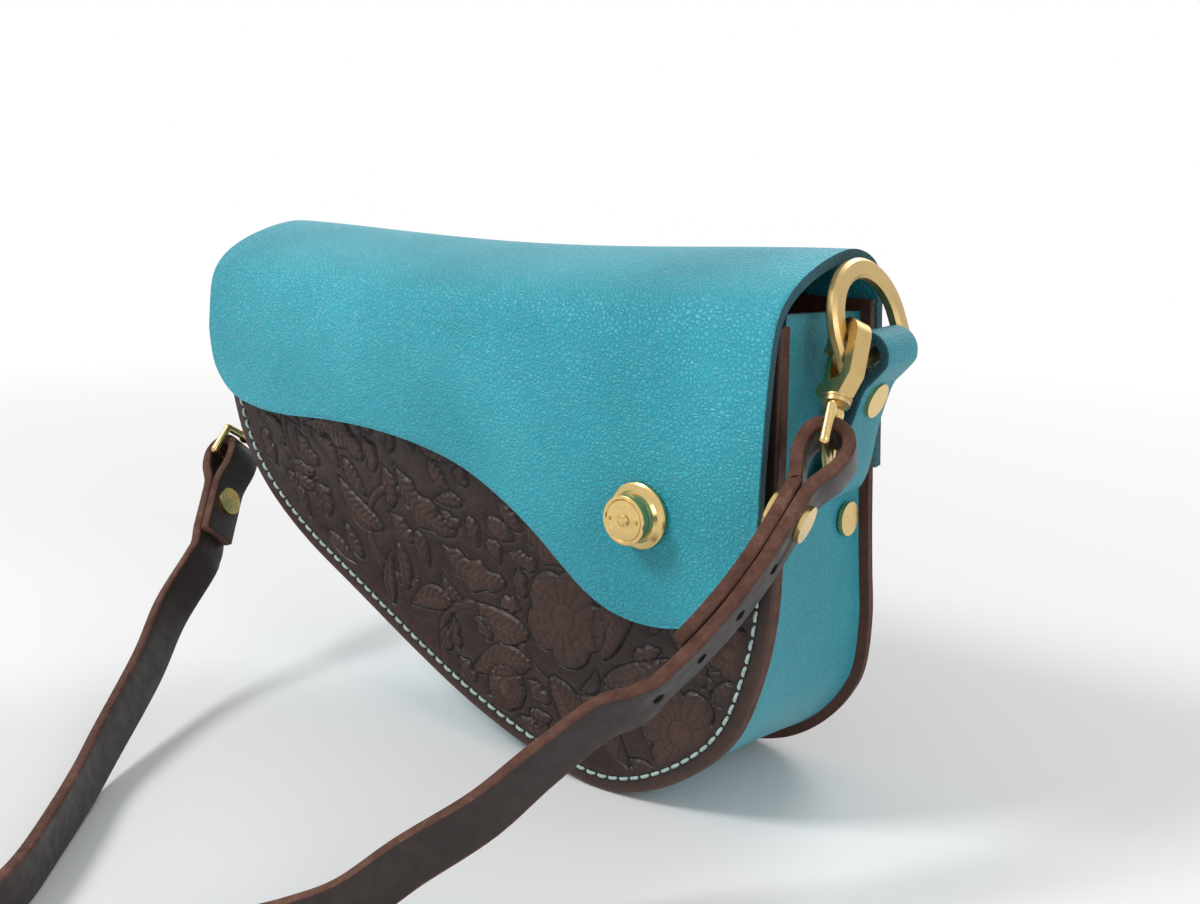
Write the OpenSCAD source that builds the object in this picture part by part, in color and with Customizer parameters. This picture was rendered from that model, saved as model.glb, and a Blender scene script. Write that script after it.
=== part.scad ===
// Small western saddle bag: a tooled front panel and a plain back panel joined by a gusset,
// a soft flap with a piston clasp, two side tabs with cast dees, and a long strap on two
// trigger snaps. X runs to the bag's right as seen from the front, Y to its back, Z up.
// The bag stands on its round lobe, and the strap lies on the same surface in front of it.

/* [Bag body] */
// Width of the front and back panels
body_w = 220; // [200:1:240]
// Height of the front panel
front_h = 138; // [134:1:139]
// Height of the back panel
back_h = 141; // [138:1:142]
// Inside depth between the panels at the bottom
body_d = 51.5; // [50.5:0.5:54]
// Lean of the back panel towards the front, in degrees
back_lean = 4.2; // [3.5:0.1:4.5]
// Thickness of the tooled front leather
front_t = 3.8; // [3:0.1:4.5]
// Thickness of the back leather
back_t = 3.8; // [3:0.1:4.5]
// Thickness of the gusset leather
gusset_t = 2.6; // [2:0.1:3.2]
// How far the panel edges stand proud of the gusset
edge_proud = 3; // [2:0.1:4.5]
// Height of the gusset's top edge at its front corner
gusset_h = 140.7; // [138:0.1:141]
// Drop of that edge from front to back
gusset_fall = 3; // [0:0.5:5]

/* [Flap] */
// Width of the flap
flap_w = 218; // [200:1:240]
// Thickness of the flap leather
flap_t = 3; // [2:0.1:3.5]
// Height of the flap's roll above the ground
flap_top = 155; // [153:1:165]
// Height of the flap's lowest point
flap_low = 57; // [50:1:64]
// Free space between the flap and the front panel, where the clasp works
flap_gap = 5; // [4:0.1:6.5]
// Height of the fold line at the back
hinge_h = 138; // [136:0.5:139]
// Length of the flap that is sewn to the back panel
flap_sewn = 44; // [30:1:60]

/* [Clasp] */
// Diameter of the clasp's flared base
base_d = 17.8; // [16.5:0.1:19]
// Diameter of the cap that is pulled
cap_d = 13.3; // [12:0.1:14]
// Distance of the clasp in from the flap's right edge
clasp_in = 36.5; // [30:0.5:45]
// Height of the clasp above the ground
clasp_h = 87; // [80:0.5:92]
// How far the cap face stands ahead of the flap
cap_reach = 6.8; // [6:0.1:9]
// Stroke of the cap when it is pulled
cap_stroke = 2; // [1:0.1:2.4]

/* [Side tabs] */
// Width of the tab at its loop
tab_w = 17.5; // [14:0.5:18]
// Width of the tab where it leaves the gusset
tab_foot_w = 28; // [24:0.5:28]
// Thickness of the tab leather
tab_t = 2.5; // [2:0.1:3]
// Length of the tab from the gusset to the middle of its loop
tab_len = 41; // [39.5:0.5:43]
// Bore of the loop that holds the dee
tab_bore_d = 7.4; // [7:0.1:8]
// Height of the right tab's slit above the ground
tab_h = 90; // [87:0.5:93]
// Lean of the right tab away from the gusset, in degrees
tab_lean = 17.5; // [16:0.5:19]
// Height of the left tab's slit above the ground
left_tab_h = 79; // [77:0.5:80]
// Lean of the left tab away from the gusset, in degrees
left_tab_lean = 33; // [31:0.5:35]
// Head diameter of the tab rivets
rivet_d = 9.5; // [8:0.1:10]

/* [Dee] */
// Clear width inside the dee
dee_in_w = 25.4; // [24.5:0.1:27]
// Width of the dee's flat wire, seen from its face
dee_wire_w = 5.2; // [4.6:0.1:5.3]
// Thickness of the dee's wire
dee_wire_t = 3.4; // [3:0.1:3.8]
// Clear height inside the dee
dee_in_h = 17.9; // [17:0.1:19]
// Diameter of the dee's straight bar
dee_bar_d = 4; // [3.4:0.1:4.2]

/* [Trigger snap] */
// Clear width of the hook's throat
throat_w = 6.2; // [6:0.1:6.6]
// Width of the hook's spine
spine_w = 3.4; // [3:0.1:4]
// Thickness of the hook
hook_t = 4.4; // [4.2:0.1:4.8]
// Diameter of the swivel collar
collar_d = 7; // [6.4:0.1:8]
// Diameter of the eye's wire
eye_wire_d = 2.6; // [2.2:0.1:3]
// Clear width of the eye
eye_in_w = 14; // [13.6:0.1:15]

/* [Strap] */
// Width of the strap
strap_w = 13; // [11:0.5:13.2]
// Thickness of the strap leather
strap_t = 3.4; // [2.8:0.1:3.6]
// Bend radius inside the strap's end loops
loop_r = 3.8; // [3.6:0.1:4.4]
// Length of the right tail past the middle of its loop
tail_len = 59; // [56:1:70]
// Length of the left tail past the middle of its loop
left_tail_len = 32; // [28:1:38]
// Head diameter of the strap screws
screw_d = 9.4; // [8:0.1:10]

/* [Hidden] */

$fn = 48;

// Clearances and overruns
eps = 0.3;          // space between pieces that only lie near each other
fit = 0.05;         // running clearance, on the radius
cut = 1;            // overrun of every cut

// Where the body stands in the frame
body_right = 52;
front_in_y = -22;
panel_front_y = front_in_y - front_t;
back_in_y = front_in_y + body_d;
// The whole part is moved so that its box is centred on the origin
centre_x = 75.6;
centre_y = 89.3;

// Outline of the panels, right edge first, then round the lobe and up the left side:
// each row is a share of the width from the right edge and a share of the height
panel_shares = [
    [0, 1.03], [0, 0.83], [0, 0.66], [0, 0.55], [0.003, 0.46], [0.014, 0.36], [0.039, 0.237],
    [0.07, 0.158], [0.114, 0.094], [0.164, 0.043], [0.214, 0.011], [0.264, 0],
    [0.314, 0.011], [0.395, 0.042], [0.491, 0.097], [0.591, 0.173], [0.718, 0.281],
    [0.814, 0.363], [0.882, 0.439], [0.932, 0.518], [0.966, 0.604], [0.986, 0.705],
    [0.998, 0.82], [0.994, 0.91], [0.965, 0.975], [0.918, 1]
];
// The back panel's lobe is fuller: the rows that differ
back_shares = concat([
    [0, 1.03], [0, 0.83], [0, 0.66], [0, 0.55], [-0.001, 0.46], [-0.002, 0.36], [0.006, 0.25],
    [0.024, 0.18], [0.06, 0.105], [0.11, 0.045], [0.165, 0.012], [0.225, 0]],
    [for (i = [12:len(panel_shares) - 1]) panel_shares[i]]);
// How far each row of the gusset's front edge is set in, as a share of the proud edge
front_in_shares = [0.35, 1, 1, 1, 0.8, 0.4, 0.12, 0.12, 0.12, 0.12, 0.3, 0.6, 1, 1, 1, 1, 1, 1, 1, 1, 1, 1,
    1, 1, 1, 1];
outline_h = 139;

// Lower edge of the flap, from its right edge round to its left lobe:
// a share of the flap's width from the right and a share of its drop
flap_shares = [
    [0, 0.85], [0, 0.643], [0.005, 0.276], [0.014, 0.173], [0.037, 0.092], [0.073, 0.041],
    [0.119, 0.01], [0.165, 0], [0.211, 0.013], [0.252, 0.051], [0.294, 0.117],
    [0.339, 0.194], [0.394, 0.27], [0.459, 0.337], [0.532, 0.378], [0.624, 0.403],
    [0.725, 0.408], [0.835, 0.398], [0.908, 0.413], [0.954, 0.449], [0.986, 0.526],
    [1, 0.643], [0.995, 0.796], [0.991, 0.9]
];

// Outer face of the flap seen from the side: a share of half the flap's depth from the
// middle plane, and a share of the height of the roll above the hinge line
roll_shares = [
    [1, 0], [1, 0.18], [0.955, 0.47], [0.82, 0.75], [0.58, 0.93], [0.27, 1],
    [-0.1, 0.92], [-0.45, 0.71], [-0.72, 0.41], [-0.875, 0], [-0.945, -0.7], [-0.985, -1.5],
    [-1, -2.3]
];

function crom(a, b, c, d, s) = 0.5 * (2 * b + (c - a) * s + (2 * a - 5 * b + 4 * c - d) * s * s
    + (3 * b - a - 3 * c + d) * s * s * s);
function spline(p, n) = let (m = len(p) - 1) concat(
    [for (i = [0:m - 1], k = [0:n - 1])
        crom(p[max(i - 1, 0)], p[i], p[i + 1], p[min(i + 2, m)], k / n)], [p[m]]);
function unit(v) = v / norm(v);
// Curve beside an open 2-D curve, at distance d to its left
function beside(p, d) = let (m = len(p) - 1) [for (i = [0:m])
    let (t = unit(p[min(i + 1, m)] - p[max(i - 1, 0)])) p[i] + d * [-t.y, t.x]];
function rev(p) = [for (i = [len(p) - 1:-1:0]) p[i]];

curve_n = 3;
panel_curve = spline([for (s = panel_shares) [body_right - s[0] * body_w, s[1] * outline_h]], curve_n);
back_curve = spline([for (s = back_shares) [body_right - s[0] * body_w, s[1] * outline_h]], curve_n);
front_in = [for (v = spline([for (s = front_in_shares) [s, 0]], curve_n)) v.x * edge_proud];
function beside_by(p, d) = let (m = len(p) - 1) [for (i = [0:m])
    let (t = unit(p[min(i + 1, m)] - p[max(i - 1, 0)])) p[i] + d[i] * [-t.y, t.x]];
gusset_front_outer = beside_by(panel_curve, -front_in);
gusset_front_inner = beside_by(panel_curve, -[for (v = front_in) v + gusset_t]);
gusset_outer = beside(back_curve, -edge_proud);
gusset_inner = beside(back_curve, -edge_proud - gusset_t);
flap_curve = spline([for (s = flap_shares)
    [body_right - s[0] * flap_w, flap_low + s[1] * (flap_top - flap_low)]], 3);

// The flap's side profile
hinge_y = back_in_y + (back_t + flap_t) / cos(back_lean) - hinge_h * tan(back_lean) + eps / 2;
flap_back_y = hinge_y;
flap_half_d = body_d;
flap_front_y = panel_front_y - flap_gap - flap_t;
roll_h = flap_top - hinge_h;
roll_curve = spline([for (s = roll_shares)
    [s[0] > 0 ? s[0] * flap_back_y : -s[0] * flap_front_y, hinge_h + s[1] * roll_h]], 4);
roll_inner = beside(roll_curve, flap_t);

// Left and right faces of the gusset by height
left_wall = [for (i = [14 * curve_n:22 * curve_n]) [gusset_outer[i].y, gusset_outer[i].x]];
left_inner = [for (i = [14 * curve_n:22 * curve_n]) [gusset_inner[i].y, gusset_inner[i].x]];
gusset_right_x = body_right - edge_proud;
function wall_x(side, z) = side > 0 ? gusset_right_x : lookup(z, left_wall);
function wall_in_x(side, z) = side > 0 ? gusset_right_x - gusset_t : lookup(z, left_inner);
// Slope of a wall between two heights, in degrees from upright
function slope(x0, z0, x1, z1) = atan((x0 - x1) / (z0 - z1));

module outline_prism(curve, y0, t, top) {
    intersection() {
        translate([0, y0 + t, 0]) rotate([90, 0, 0]) linear_extrude(t) polygon(curve);
        translate([body_right - body_w - body_w, y0 - cut, 0]) cube([3 * body_w, t + 2 * cut, top]);
    }
}

// Frame of the right tab: x across the leather, away from the bag, z up along the tab
module tab_frame(side) {
    if (side > 0)
        translate([gusset_right_x, tab_y, tab_h]) rotate([0, tab_lean, 0]) children();
    else
        translate([lookup(left_tab_h, left_wall), tab_y, left_tab_h])
            rotate([0, -left_tab_lean, 0]) mirror([1, 0, 0]) children();
}
tab_y = 8.2;
tab_ring_r = tab_bore_d / 2 + tab_t;
tab_rivet_z = 0.7 * tab_len;
tab_foot_lens = [15, 12];
tab_foot_y = 6.8;
foot_rivet_y = 16.5;
foot_rivet_drop = [[9, -2], [6.5, 6.5]];    // back and front rivet below the slit, right and left tab
foot_ear_h = 7.5;
foot_ear_y = -8.5;
rivet_head_t = 1.2;
rivet_shank_d = 4;

// Centre of each tab's loop
right_ring = [gusset_right_x + tab_len * sin(tab_lean), tab_y, tab_h + tab_len * cos(tab_lean)];
left_ring = [lookup(left_tab_h, left_wall) - tab_len * sin(left_tab_lean), tab_y,
    left_tab_h + tab_len * cos(left_tab_lean)];

// Dees: the right one stands up, leans on the flap's edge and is cocked in its loop,
// the left one hangs down
dee_y = tab_y - 2.8;
dee_cock = 7;
dee_lean = 16;
left_dee_y = tab_y - 3.6;
dee_mid_r = (dee_in_w + dee_wire_w) / 2;
dee_leg = dee_in_h - dee_in_w / 2 + dee_bar_d / 2;
dee_bevel = 0.9;
dee_bump_r = 0.9;

// Trigger snaps: lean to the front, lean away from the bag, turn of the hook and of the eye
// about the swivel, in degrees
hook_fwd = [36, 42];
hook_out = [9, 0];
hook_turn = [-30, 0];
eye_turn = [19.5, 0];
nose_w = 2.8;
hook_r = throat_w / 2;
hook_base_z = -10.4;
hook_collar_z = -15;
collar_h = 1.8;
gate_pivot = [-4.6, -12];
gate_pin_d = 1.6;
gate_w = 2.2;
gate_t = 2.4;
eye_stem_d = 2.8;
eye_ball_d = 5;
eye_drop = 30;
eye_shoulder = 9;
eye_half = (eye_in_w + eye_wire_d) / 2;

function rx(a, v) = [v.x, v.y * cos(a) - v.z * sin(a), v.y * sin(a) + v.z * cos(a)];
function ry(a, v) = [v.x * cos(a) + v.z * sin(a), v.y, v.z * cos(a) - v.x * sin(a)];
function rz(a, v) = [v.x * cos(a) - v.y * sin(a), v.x * sin(a) + v.y * cos(a), v.z];
// A direction of snap s's eye in the bag's frame
function eye_dir(s, v) = rx(-hook_fwd[s], ry(-hook_out[s], rz(eye_turn[s], v)));

function swivel_dir(s) = rx(-hook_fwd[s], ry(-hook_out[s], [0, 0, 1]));

// Right dee: a point at height h over its bar and w along it; left dee: a point of its bow
right_bar = [right_ring.x, dee_y, right_ring.z - (tab_y - dee_y) * sin(dee_cock)];
left_bar = [left_ring.x, left_dee_y, left_ring.z];
function right_dee_pt(w, h) = right_bar + rx(dee_cock, ry(-dee_lean, [0, w, h]));
left_bow = 70;
hook_lift = [4.2, 1.9];
hook_on_leg = 2.6;
hook_at = [right_dee_pt(-dee_mid_r, hook_on_leg) + hook_lift[0] * swivel_dir(0),
    left_bar - [0, dee_mid_r * cos(left_bow), dee_leg + dee_mid_r * sin(left_bow)]
    + hook_lift[1] * swivel_dir(1)];

module swivel_frame(s) {
    translate(hook_at[s]) rotate([-hook_fwd[s], 0, 0]) rotate([0, -hook_out[s], 0]) children();
}
module hook_frame(s) { swivel_frame(s) rotate([0, 0, hook_turn[s]]) children(); }

// Strap: the end loops lie in the plane across each eye's bar. Along is the way the
// strap leaves the eye, aside the way to its long layer.
strap_leave = [18, -25];
long_side = [1, -1];
loop_back = 0.3;
loop_mid_r = loop_r + strap_t / 2;
layer_gap = 0.3;
layer_off = (strap_t + layer_gap) / 2;
screw_along = 18.5;
post_d = 4;
screw_head_t = 1.3;
function along(s) = eye_dir(s, [-sin(strap_leave[s]), 0, -cos(strap_leave[s])]);
function aside(s) = long_side[s] * eye_dir(s, [cos(strap_leave[s]), 0, -sin(strap_leave[s])]);
function across(s) = -eye_dir(s, [0, 1, 0]);
function loop_mid(s) = hook_at[s] + eye_dir(s, [0, 0, -eye_drop]) - loop_back * along(s);
// The right end bends away from its long layer past the screw
bend_from = 23.5;
bend_r = [135, 0];
function bend_a(s, a) = bend_r[s] > 0 && a > bend_from ? (a - bend_from) / bend_r[s] * 180 / PI : 0;
function bent(s, a, b) = let (t = bend_a(s, a)) t > 0
    ? [bend_from + (bend_r[s] + b) * sin(t), (bend_r[s] + b) * cos(t) - bend_r[s]] : [a, b];
function loop_pt(s, a, b) = let (q = bent(s, a, b)) loop_mid(s) + q.x * along(s) + q.y * aside(s);
// Shares of the loop's middle radius: along and aside
loop_shares = [[1.95, 0.42], [1.4, 0.64], [0.85, 0.88], [0.25, 0.99], [-0.35, 0.94], [-0.81, 0.6],
    [-1, 0]];
half_loop = concat([[2.55 * loop_mid_r, layer_off]], [for (s = loop_shares) s * loop_mid_r]);
loop_2d = concat(half_loop, [for (i = [len(half_loop) - 2:-1:0]) [half_loop[i].x, -half_loop[i].y]]);

// Route of the strap's middle stretch in shares of one unit: x, y, z and the turn of its
// width in degrees, where 90 stands it on its edge
route_unit = 100;
run_out = [72, 40];
hole_first = 31.6;
hole_step = 13.1;
hole_d = 3;
route_shares = [
    [0.39, -0.80, 0.525, 60], [0.29, -0.90, 0.415, 68], [0.20, -1.00, 0.305, 78],
    [0.08, -1.12, 0.20, 87], [-0.01, -1.23, 0.11, 93], [-0.09, -1.33, 0.075, 93],
    [-0.16, -1.44, 0.066, 91], [-0.25, -1.62, 0.0655, 90], [-0.35, -1.81, 0.0655, 90],
    [-0.49, -1.99, 0.0655, 90], [-0.67, -2.09, 0.0655, 90], [-0.88, -2.09, 0.0655, 90],
    [-1.10, -1.99, 0.0655, 90], [-1.45, -1.79, 0.0655, 90], [-1.85, -1.57, 0.0655, 90],
    [-2.12, -1.43, 0.0655, 90], [-2.22, -1.35, 0.0655, 90], [-2.22, -1.25, 0.0655, 90],
    [-2.12, -1.21, 0.0655, 90], [-1.85, -1.35, 0.0655, 90], [-1.45, -1.58, 0.0655, 90],
    [-1.10, -1.79, 0.0655, 90], [-0.92, -1.88, 0.0655, 90], [-0.78, -1.89, 0.0655, 90],
    [-0.70, -1.80, 0.0655, 90], [-0.72, -1.69, 0.0655, 90], [-0.79, -1.58, 0.0655, 90],
    [-0.94, -1.41, 0.067, 88], [-1.10, -1.235, 0.072, 82], [-1.22, -1.09, 0.105, 77],
    [-1.42, -0.81, 0.205, 69], [-1.54, -0.63, 0.315, 66]
];
loop_turn = [52, 65];
floor_lift = 6.5;    // the height that the rows below were set for, half the strap's width
function route_p(i) = [route_shares[i].x * route_unit, route_shares[i].y * route_unit,
    route_shares[i].z * route_unit + (strap_w / 2 - floor_lift) * sin(route_shares[i][3])];

mid_pts = concat(
    [for (u = [30, 50, run_out[0]]) loop_pt(0, u, layer_off)],
    [for (i = [0:len(route_shares) - 1]) route_p(i)],
    [for (u = [run_out[1], 30, 22]) loop_pt(1, u, layer_off)]);
mid_turns = concat([for (k = [0:2]) loop_turn[0]], [for (r = route_shares) r[3]],
    [for (k = [0:2]) loop_turn[1]]);
mid_n = 4;
mid_curve = spline(mid_pts, mid_n);
mid_turn = spline([for (t = mid_turns) [t, 0]], mid_n);

function direction(p, i) = unit(p[min(i + 1, len(p) - 1)] - p[max(i - 1, 0)]);
function turned(t, a) = let (h = unit([-t.y, t.x, 0])) cos(a) * h + sin(a) * cross(t, h);

// End loops as curves from the tail's end to the long layer, or the other way round
function end_curve(s, tail) = let (
    flat = concat([[tail, layer_off]], [[(tail + half_loop[0].x) / 2, layer_off]], loop_2d),
    c = spline(flat, 3))
    [for (p = c) loop_pt(s, p.x, -p.y)];
right_end = end_curve(0, tail_len);
left_end = rev(end_curve(1, left_tail_len));

function ring(p, t, w) = let (n = cross(t, w), a = w * strap_w / 2, b = n * strap_t / 2)
    [p + a + b, p - a + b, p - a - b, p + a - b];
rings = concat(
    [for (i = [0:len(right_end) - 1])
        ring(right_end[i], direction(right_end, i), across(0))],
    [for (i = [1:len(mid_curve) - 2])
        let (t = direction(mid_curve, i)) ring(mid_curve[i], t,
            i < 2 * mid_n ? unit(across(0) - (across(0) * t) * t)
            : i > len(mid_curve) - 1 - 2 * mid_n ? unit(across(1) - (across(1) * t) * t)
            : turned(t, mid_turn[i].x))],
    [for (i = [0:len(left_end) - 1])
        ring(left_end[i], direction(left_end, i), across(1))]);

module sweep(r) {
    m = len(r) - 1;
    polyhedron(
        points = [for (q = r) each q],
        faces = concat(
            [[0, 1, 2], [0, 2, 3]],
            [for (i = [0:m - 1], k = [0:3]) let (a = 4 * i + k, b = 4 * i + (k + 1) % 4)
                each [[a, a + 4, b], [b, a + 4, b + 4]]],
            [[4 * m + 2, 4 * m + 1, 4 * m], [4 * m + 3, 4 * m + 2, 4 * m]]));
}

leather_blue = "#1fa3b6";
leather_tooled = "#5a3424";
leather_back = "#6b3d2a";
leather_strap = "#3f261c";
brass = "#c9a043";

module placed() { translate([centre_x, centre_y, 0]) children(); }

module front_panel() placed() color(leather_tooled) difference() {
    outline_prism(panel_curve, panel_front_y, front_t, front_h);
    translate([clasp_x, panel_front_y - cut, clasp_h]) rotate([-90, 0, 0])
        cylinder(d = stud_screw_d + 2 * fit, h = front_t + 2 * cut);
}

// Frame of the back panel's inner face
module back_frame() { translate([0, back_in_y, 0]) rotate([back_lean, 0, 0]) children(); }

module back_panel() placed() color(leather_back)
    back_frame() outline_prism(back_curve, 0, back_t, back_h);

// Gusset: a wall between the front panel's outline and the back panel's fuller one
gusset_rows = 23 * curve_n;
function back_y(z) = back_in_y - z * tan(back_lean);
function on_front(p) = [p.x, front_in_y, p.y];
function on_back(p) = [p.x, back_y(p.y), p.y];
module gusset_band() {
    m = gusset_rows;
    polyhedron(
        points = [for (i = [0:m]) each [on_front(gusset_front_outer[i]), on_front(gusset_front_inner[i]),
            on_back(gusset_inner[i]), on_back(gusset_outer[i])]],
        faces = concat([[0, 1, 2], [0, 2, 3]],
            [for (i = [0:m - 1], k = [0:3]) let (a = 4 * i + k, b = 4 * i + (k + 1) % 4)
                each [[a, a + 4, b], [b, a + 4, b + 4]]],
            [[4 * m, 4 * m + 2, 4 * m + 1], [4 * m, 4 * m + 3, 4 * m + 2]]));
}

module gusset() placed() color(leather_blue) difference() {
    intersection() {
        gusset_band();
        translate([body_right - 2 * body_w, front_in_y, gusset_h])
            rotate([-atan(gusset_fall / body_d), 0, 0])
            translate([0, -body_d, -2 * outline_h]) cube([3 * body_w, 3 * body_d, 2 * outline_h]);
    }
    for (s = [1, -1]) tab_frame(s)
        translate([-tab_slit_in, foot_lo - eps, -tab_slit_h / 2])
            cube([2 * tab_slit_in, tab_foot_w + 2 * eps, tab_slit_h]);
    for (s = [1, -1]) foot_rivets(s) rotate([0, 90, 0])
        cylinder(d = rivet_shank_d + 2 * fit, h = 4 * foot_stack, center = true);
}
tab_slit_in = 6;
tab_slit_h = 3.4;

// The flap's leather, as the side profile cut by the front outline
module flap_leather(z0, z1) {
    intersection() {
        translate([body_right - body_w - flap_w, 0, 0]) rotate([90, 0, 90])
            linear_extrude(3 * body_w) polygon(concat(
                [[flap_back_y, z0]], roll_curve, [[flap_front_y, flap_low - cut]],
                [[flap_front_y + flap_t, flap_low - cut]], rev(roll_inner),
                [[flap_back_y - flap_t, z0]]));
        translate([0, flap_half_d * 2, 0]) rotate([90, 0, 0]) linear_extrude(4 * flap_half_d)
            polygon(concat([[flap_curve[0].x, z1]], flap_curve,
                [[flap_curve[len(flap_curve) - 1].x, z1]]));
    }
}

module flap() placed() color(leather_blue) difference() {
    flap_leather(hinge_h, flap_top + cut);
    translate([clasp_x, flap_front_y - cut, clasp_h]) rotate([-90, 0, 0])
        cylinder(d = sleeve_d + 2 * fit, h = flap_t + 2 * cut);
}

module flap_back() placed() color(leather_blue) back_frame()
    translate([body_right - flap_w + flap_back_in, back_t + fit,
        (hinge_h - fit - (back_t + flap_t) * sin(back_lean)) / cos(back_lean) - flap_sewn])
        cube([flap_w - 2 * flap_back_in, flap_t, flap_sewn]);
flap_back_in = 2.2;

// Clasp. The base and its nut grip the flap, the stud stands on the front panel and
// the sprung cap is pulled out to let the stud go.
clasp_x = body_right - clasp_in;
base_h = 4.2;
base_rim_t = 0.9;
base_neck_d = 12.4;
sleeve_d = 9.6;
sleeve_bore_d = 7.4;
sleeve_back = 1.4;
nut_d = 14;
cap_t = 2.3;
cap_rim_t = 0.5;
cap_rim_w = 1.3;
piston_d = 5;
piston_len = 1.6;
nub_d = 3.3;
nub_h = 1;
stud_flange_d = 9;
stud_flange_t = 1.2;
stud_d = 4.4;
stud_neck_d = 3.2;
stud_len = 5.8;
stud_screw_d = 3;
module clasp_frame() {
    translate([clasp_x, flap_front_y, clasp_h]) rotate([90, 0, 0]) children();
}

module clasp_base() placed() color(brass) clasp_frame() rotate_extrude() polygon([
    [sleeve_bore_d / 2, -flap_t - sleeve_back], [sleeve_d / 2, -flap_t - sleeve_back],
    [sleeve_d / 2, 0], [base_d / 2, 0], [base_d / 2, base_rim_t],
    [base_d / 2 - base_rim_t / 2, base_rim_t * 1.4], [base_neck_d / 2 + base_rim_t, base_rim_t * 1.9],
    [base_neck_d / 2 + base_rim_t / 3, base_h * 0.6], [base_neck_d / 2, base_h],
    [sleeve_bore_d / 2, base_h]]);

module clasp_nut() placed() color(brass) clasp_frame() difference() {
    translate([0, 0, -flap_t - sleeve_back]) cylinder(d = nut_d, h = sleeve_back);
    translate([0, 0, -flap_t - 2 * sleeve_back]) cylinder(d = sleeve_d + 2 * fit, h = 3 * sleeve_back);
    for (s = [1, -1]) translate([s * nut_d * 0.41, 0, -flap_t - 2 * sleeve_back])
        cylinder(d = nut_d / 12, h = 3 * sleeve_back);
}

module clasp_cap() placed() color(brass) clasp_frame() {
    difference() {
        union() {
            translate([0, 0, cap_reach]) mirror([0, 0, 1]) rotate_extrude() polygon([
                [0, 0], [cap_d / 2 - cap_rim_w, 0], [cap_d / 2 - cap_rim_w, cap_rim_t / 3],
                [cap_d / 2 - cap_rim_w * 0.7, -cap_rim_t / 2], [cap_d / 2 - cap_rim_w * 0.2, -cap_rim_t / 2],
                [cap_d / 2, 0], [cap_d / 2, cap_t - cap_rim_t], [cap_d / 2 - cap_rim_t, cap_t], [0, cap_t]]);
            translate([0, 0, cap_reach - cap_t - piston_len]) cylinder(d = piston_d, h = piston_len + fit);
        }
        translate([0, 0, cap_reach - cap_t - 2 * piston_len])
            cylinder(d = cap_screw_d + 2 * fit, h = cap_t + 4 * piston_len);
        for (s = [1, -1]) translate([s * 0.32 * cap_d, 0, cap_reach - cap_rim_t])
            cylinder(d = cap_rim_t * 2, h = cap_t);
    }
}
cap_screw_d = 2;

module clasp_screw() placed() color(brass) clasp_frame() {
    translate([0, 0, cap_reach - cap_t - piston_len]) cylinder(d = cap_screw_d, h = cap_t + piston_len);
    translate([0, 0, cap_reach]) rotate_extrude() polygon([[0, 0], [nub_d / 2, 0], [nub_d / 2, nub_h * 0.4],
        [nub_d * 0.38, nub_h * 0.8], [nub_d * 0.2, nub_h], [0, nub_h]]);
}

module clasp_stud() placed() color(brass) translate([clasp_x, panel_front_y, clasp_h])
    rotate([90, 0, 0]) difference() {
        rotate_extrude() polygon([[0, 0], [stud_flange_d / 2, 0],
            [stud_flange_d / 2, stud_flange_t * 0.6], [stud_flange_d / 2 - stud_flange_t / 2, stud_flange_t],
            [stud_neck_d / 2 + stud_flange_t, stud_flange_t], [stud_d / 2, stud_flange_t * 1.5],
            [stud_d / 2, stud_len * 0.5], [stud_neck_d / 2, stud_len * 0.58], [stud_neck_d / 2, stud_len * 0.7],
            [stud_d / 2, stud_len * 0.78], [stud_d / 2, stud_len * 0.85], [stud_neck_d / 2, stud_len],
            [0, stud_len]]);
        translate([0, 0, -cut]) cylinder(d = stud_thread_d + 2 * fit, h = stud_len / 2 + cut);
    }
stud_thread_d = 2;

module stud_screw() placed() color(brass) translate([clasp_x, panel_front_y, clasp_h])
    rotate([90, 0, 0]) difference() {
        union() {
            translate([0, 0, -front_t - stud_flange_t]) cylinder(d = stud_flange_d, h = stud_flange_t);
            translate([0, 0, -front_t - fit]) cylinder(d = stud_screw_d, h = front_t);
            translate([0, 0, -front_t]) cylinder(d = stud_thread_d, h = front_t + stud_len * 0.4);
        }
        translate([-stud_flange_d, -stud_thread_d / 5, -front_t - stud_flange_t - cut])
            cube([2 * stud_flange_d, stud_thread_d / 2.5, cut + stud_flange_t / 2]);
    }

// Side tab: the strip comes out of the slit, runs up, turns round the dee's bar and
// comes back down inside, where the upper rivet holds both layers. Its wide foot lies
// inside the gusset under two more rivets.
foot_stack = gusset_t + tab_t;
function foot_grip(side) = foot_stack + foot_sag[side > 0 ? 0 : 1];
foot_lo = tab_foot_y - tab_foot_w / 2 - tab_y;
foot_hi = tab_foot_y + tab_foot_w / 2 - tab_y;
plate_gap = 3 * eps;
plate_lo = front_in_y + plate_gap - tab_y;
tab_in_len = 0.52 * tab_len;
tab_neck = 1.2 * tab_ring_r;
module tab_side_profile() {
    difference() {
        union() {
            translate([0, -cut]) square([tab_t, tab_len - tab_neck + 2 * cut]);
            translate([-tab_t, tab_len - tab_in_len]) square([2 * tab_t, tab_in_len - tab_neck + cut / 2]);
            polygon([[-tab_ring_r * 0.92, tab_len - tab_ring_r * 0.3],
                [tab_ring_r * 0.92, tab_len - tab_ring_r * 0.3], [tab_t, tab_len - tab_neck],
                [-tab_t, tab_len - tab_neck]]);
        }
        polygon([[-tab_bore_d * 0.44, tab_len - tab_bore_d * 0.15],
            [tab_bore_d * 0.44, tab_len - tab_bore_d * 0.15], [fit, tab_len - tab_neck * 0.75],
            [-fit, tab_len - tab_neck * 0.75]]);
    }
}

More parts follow.
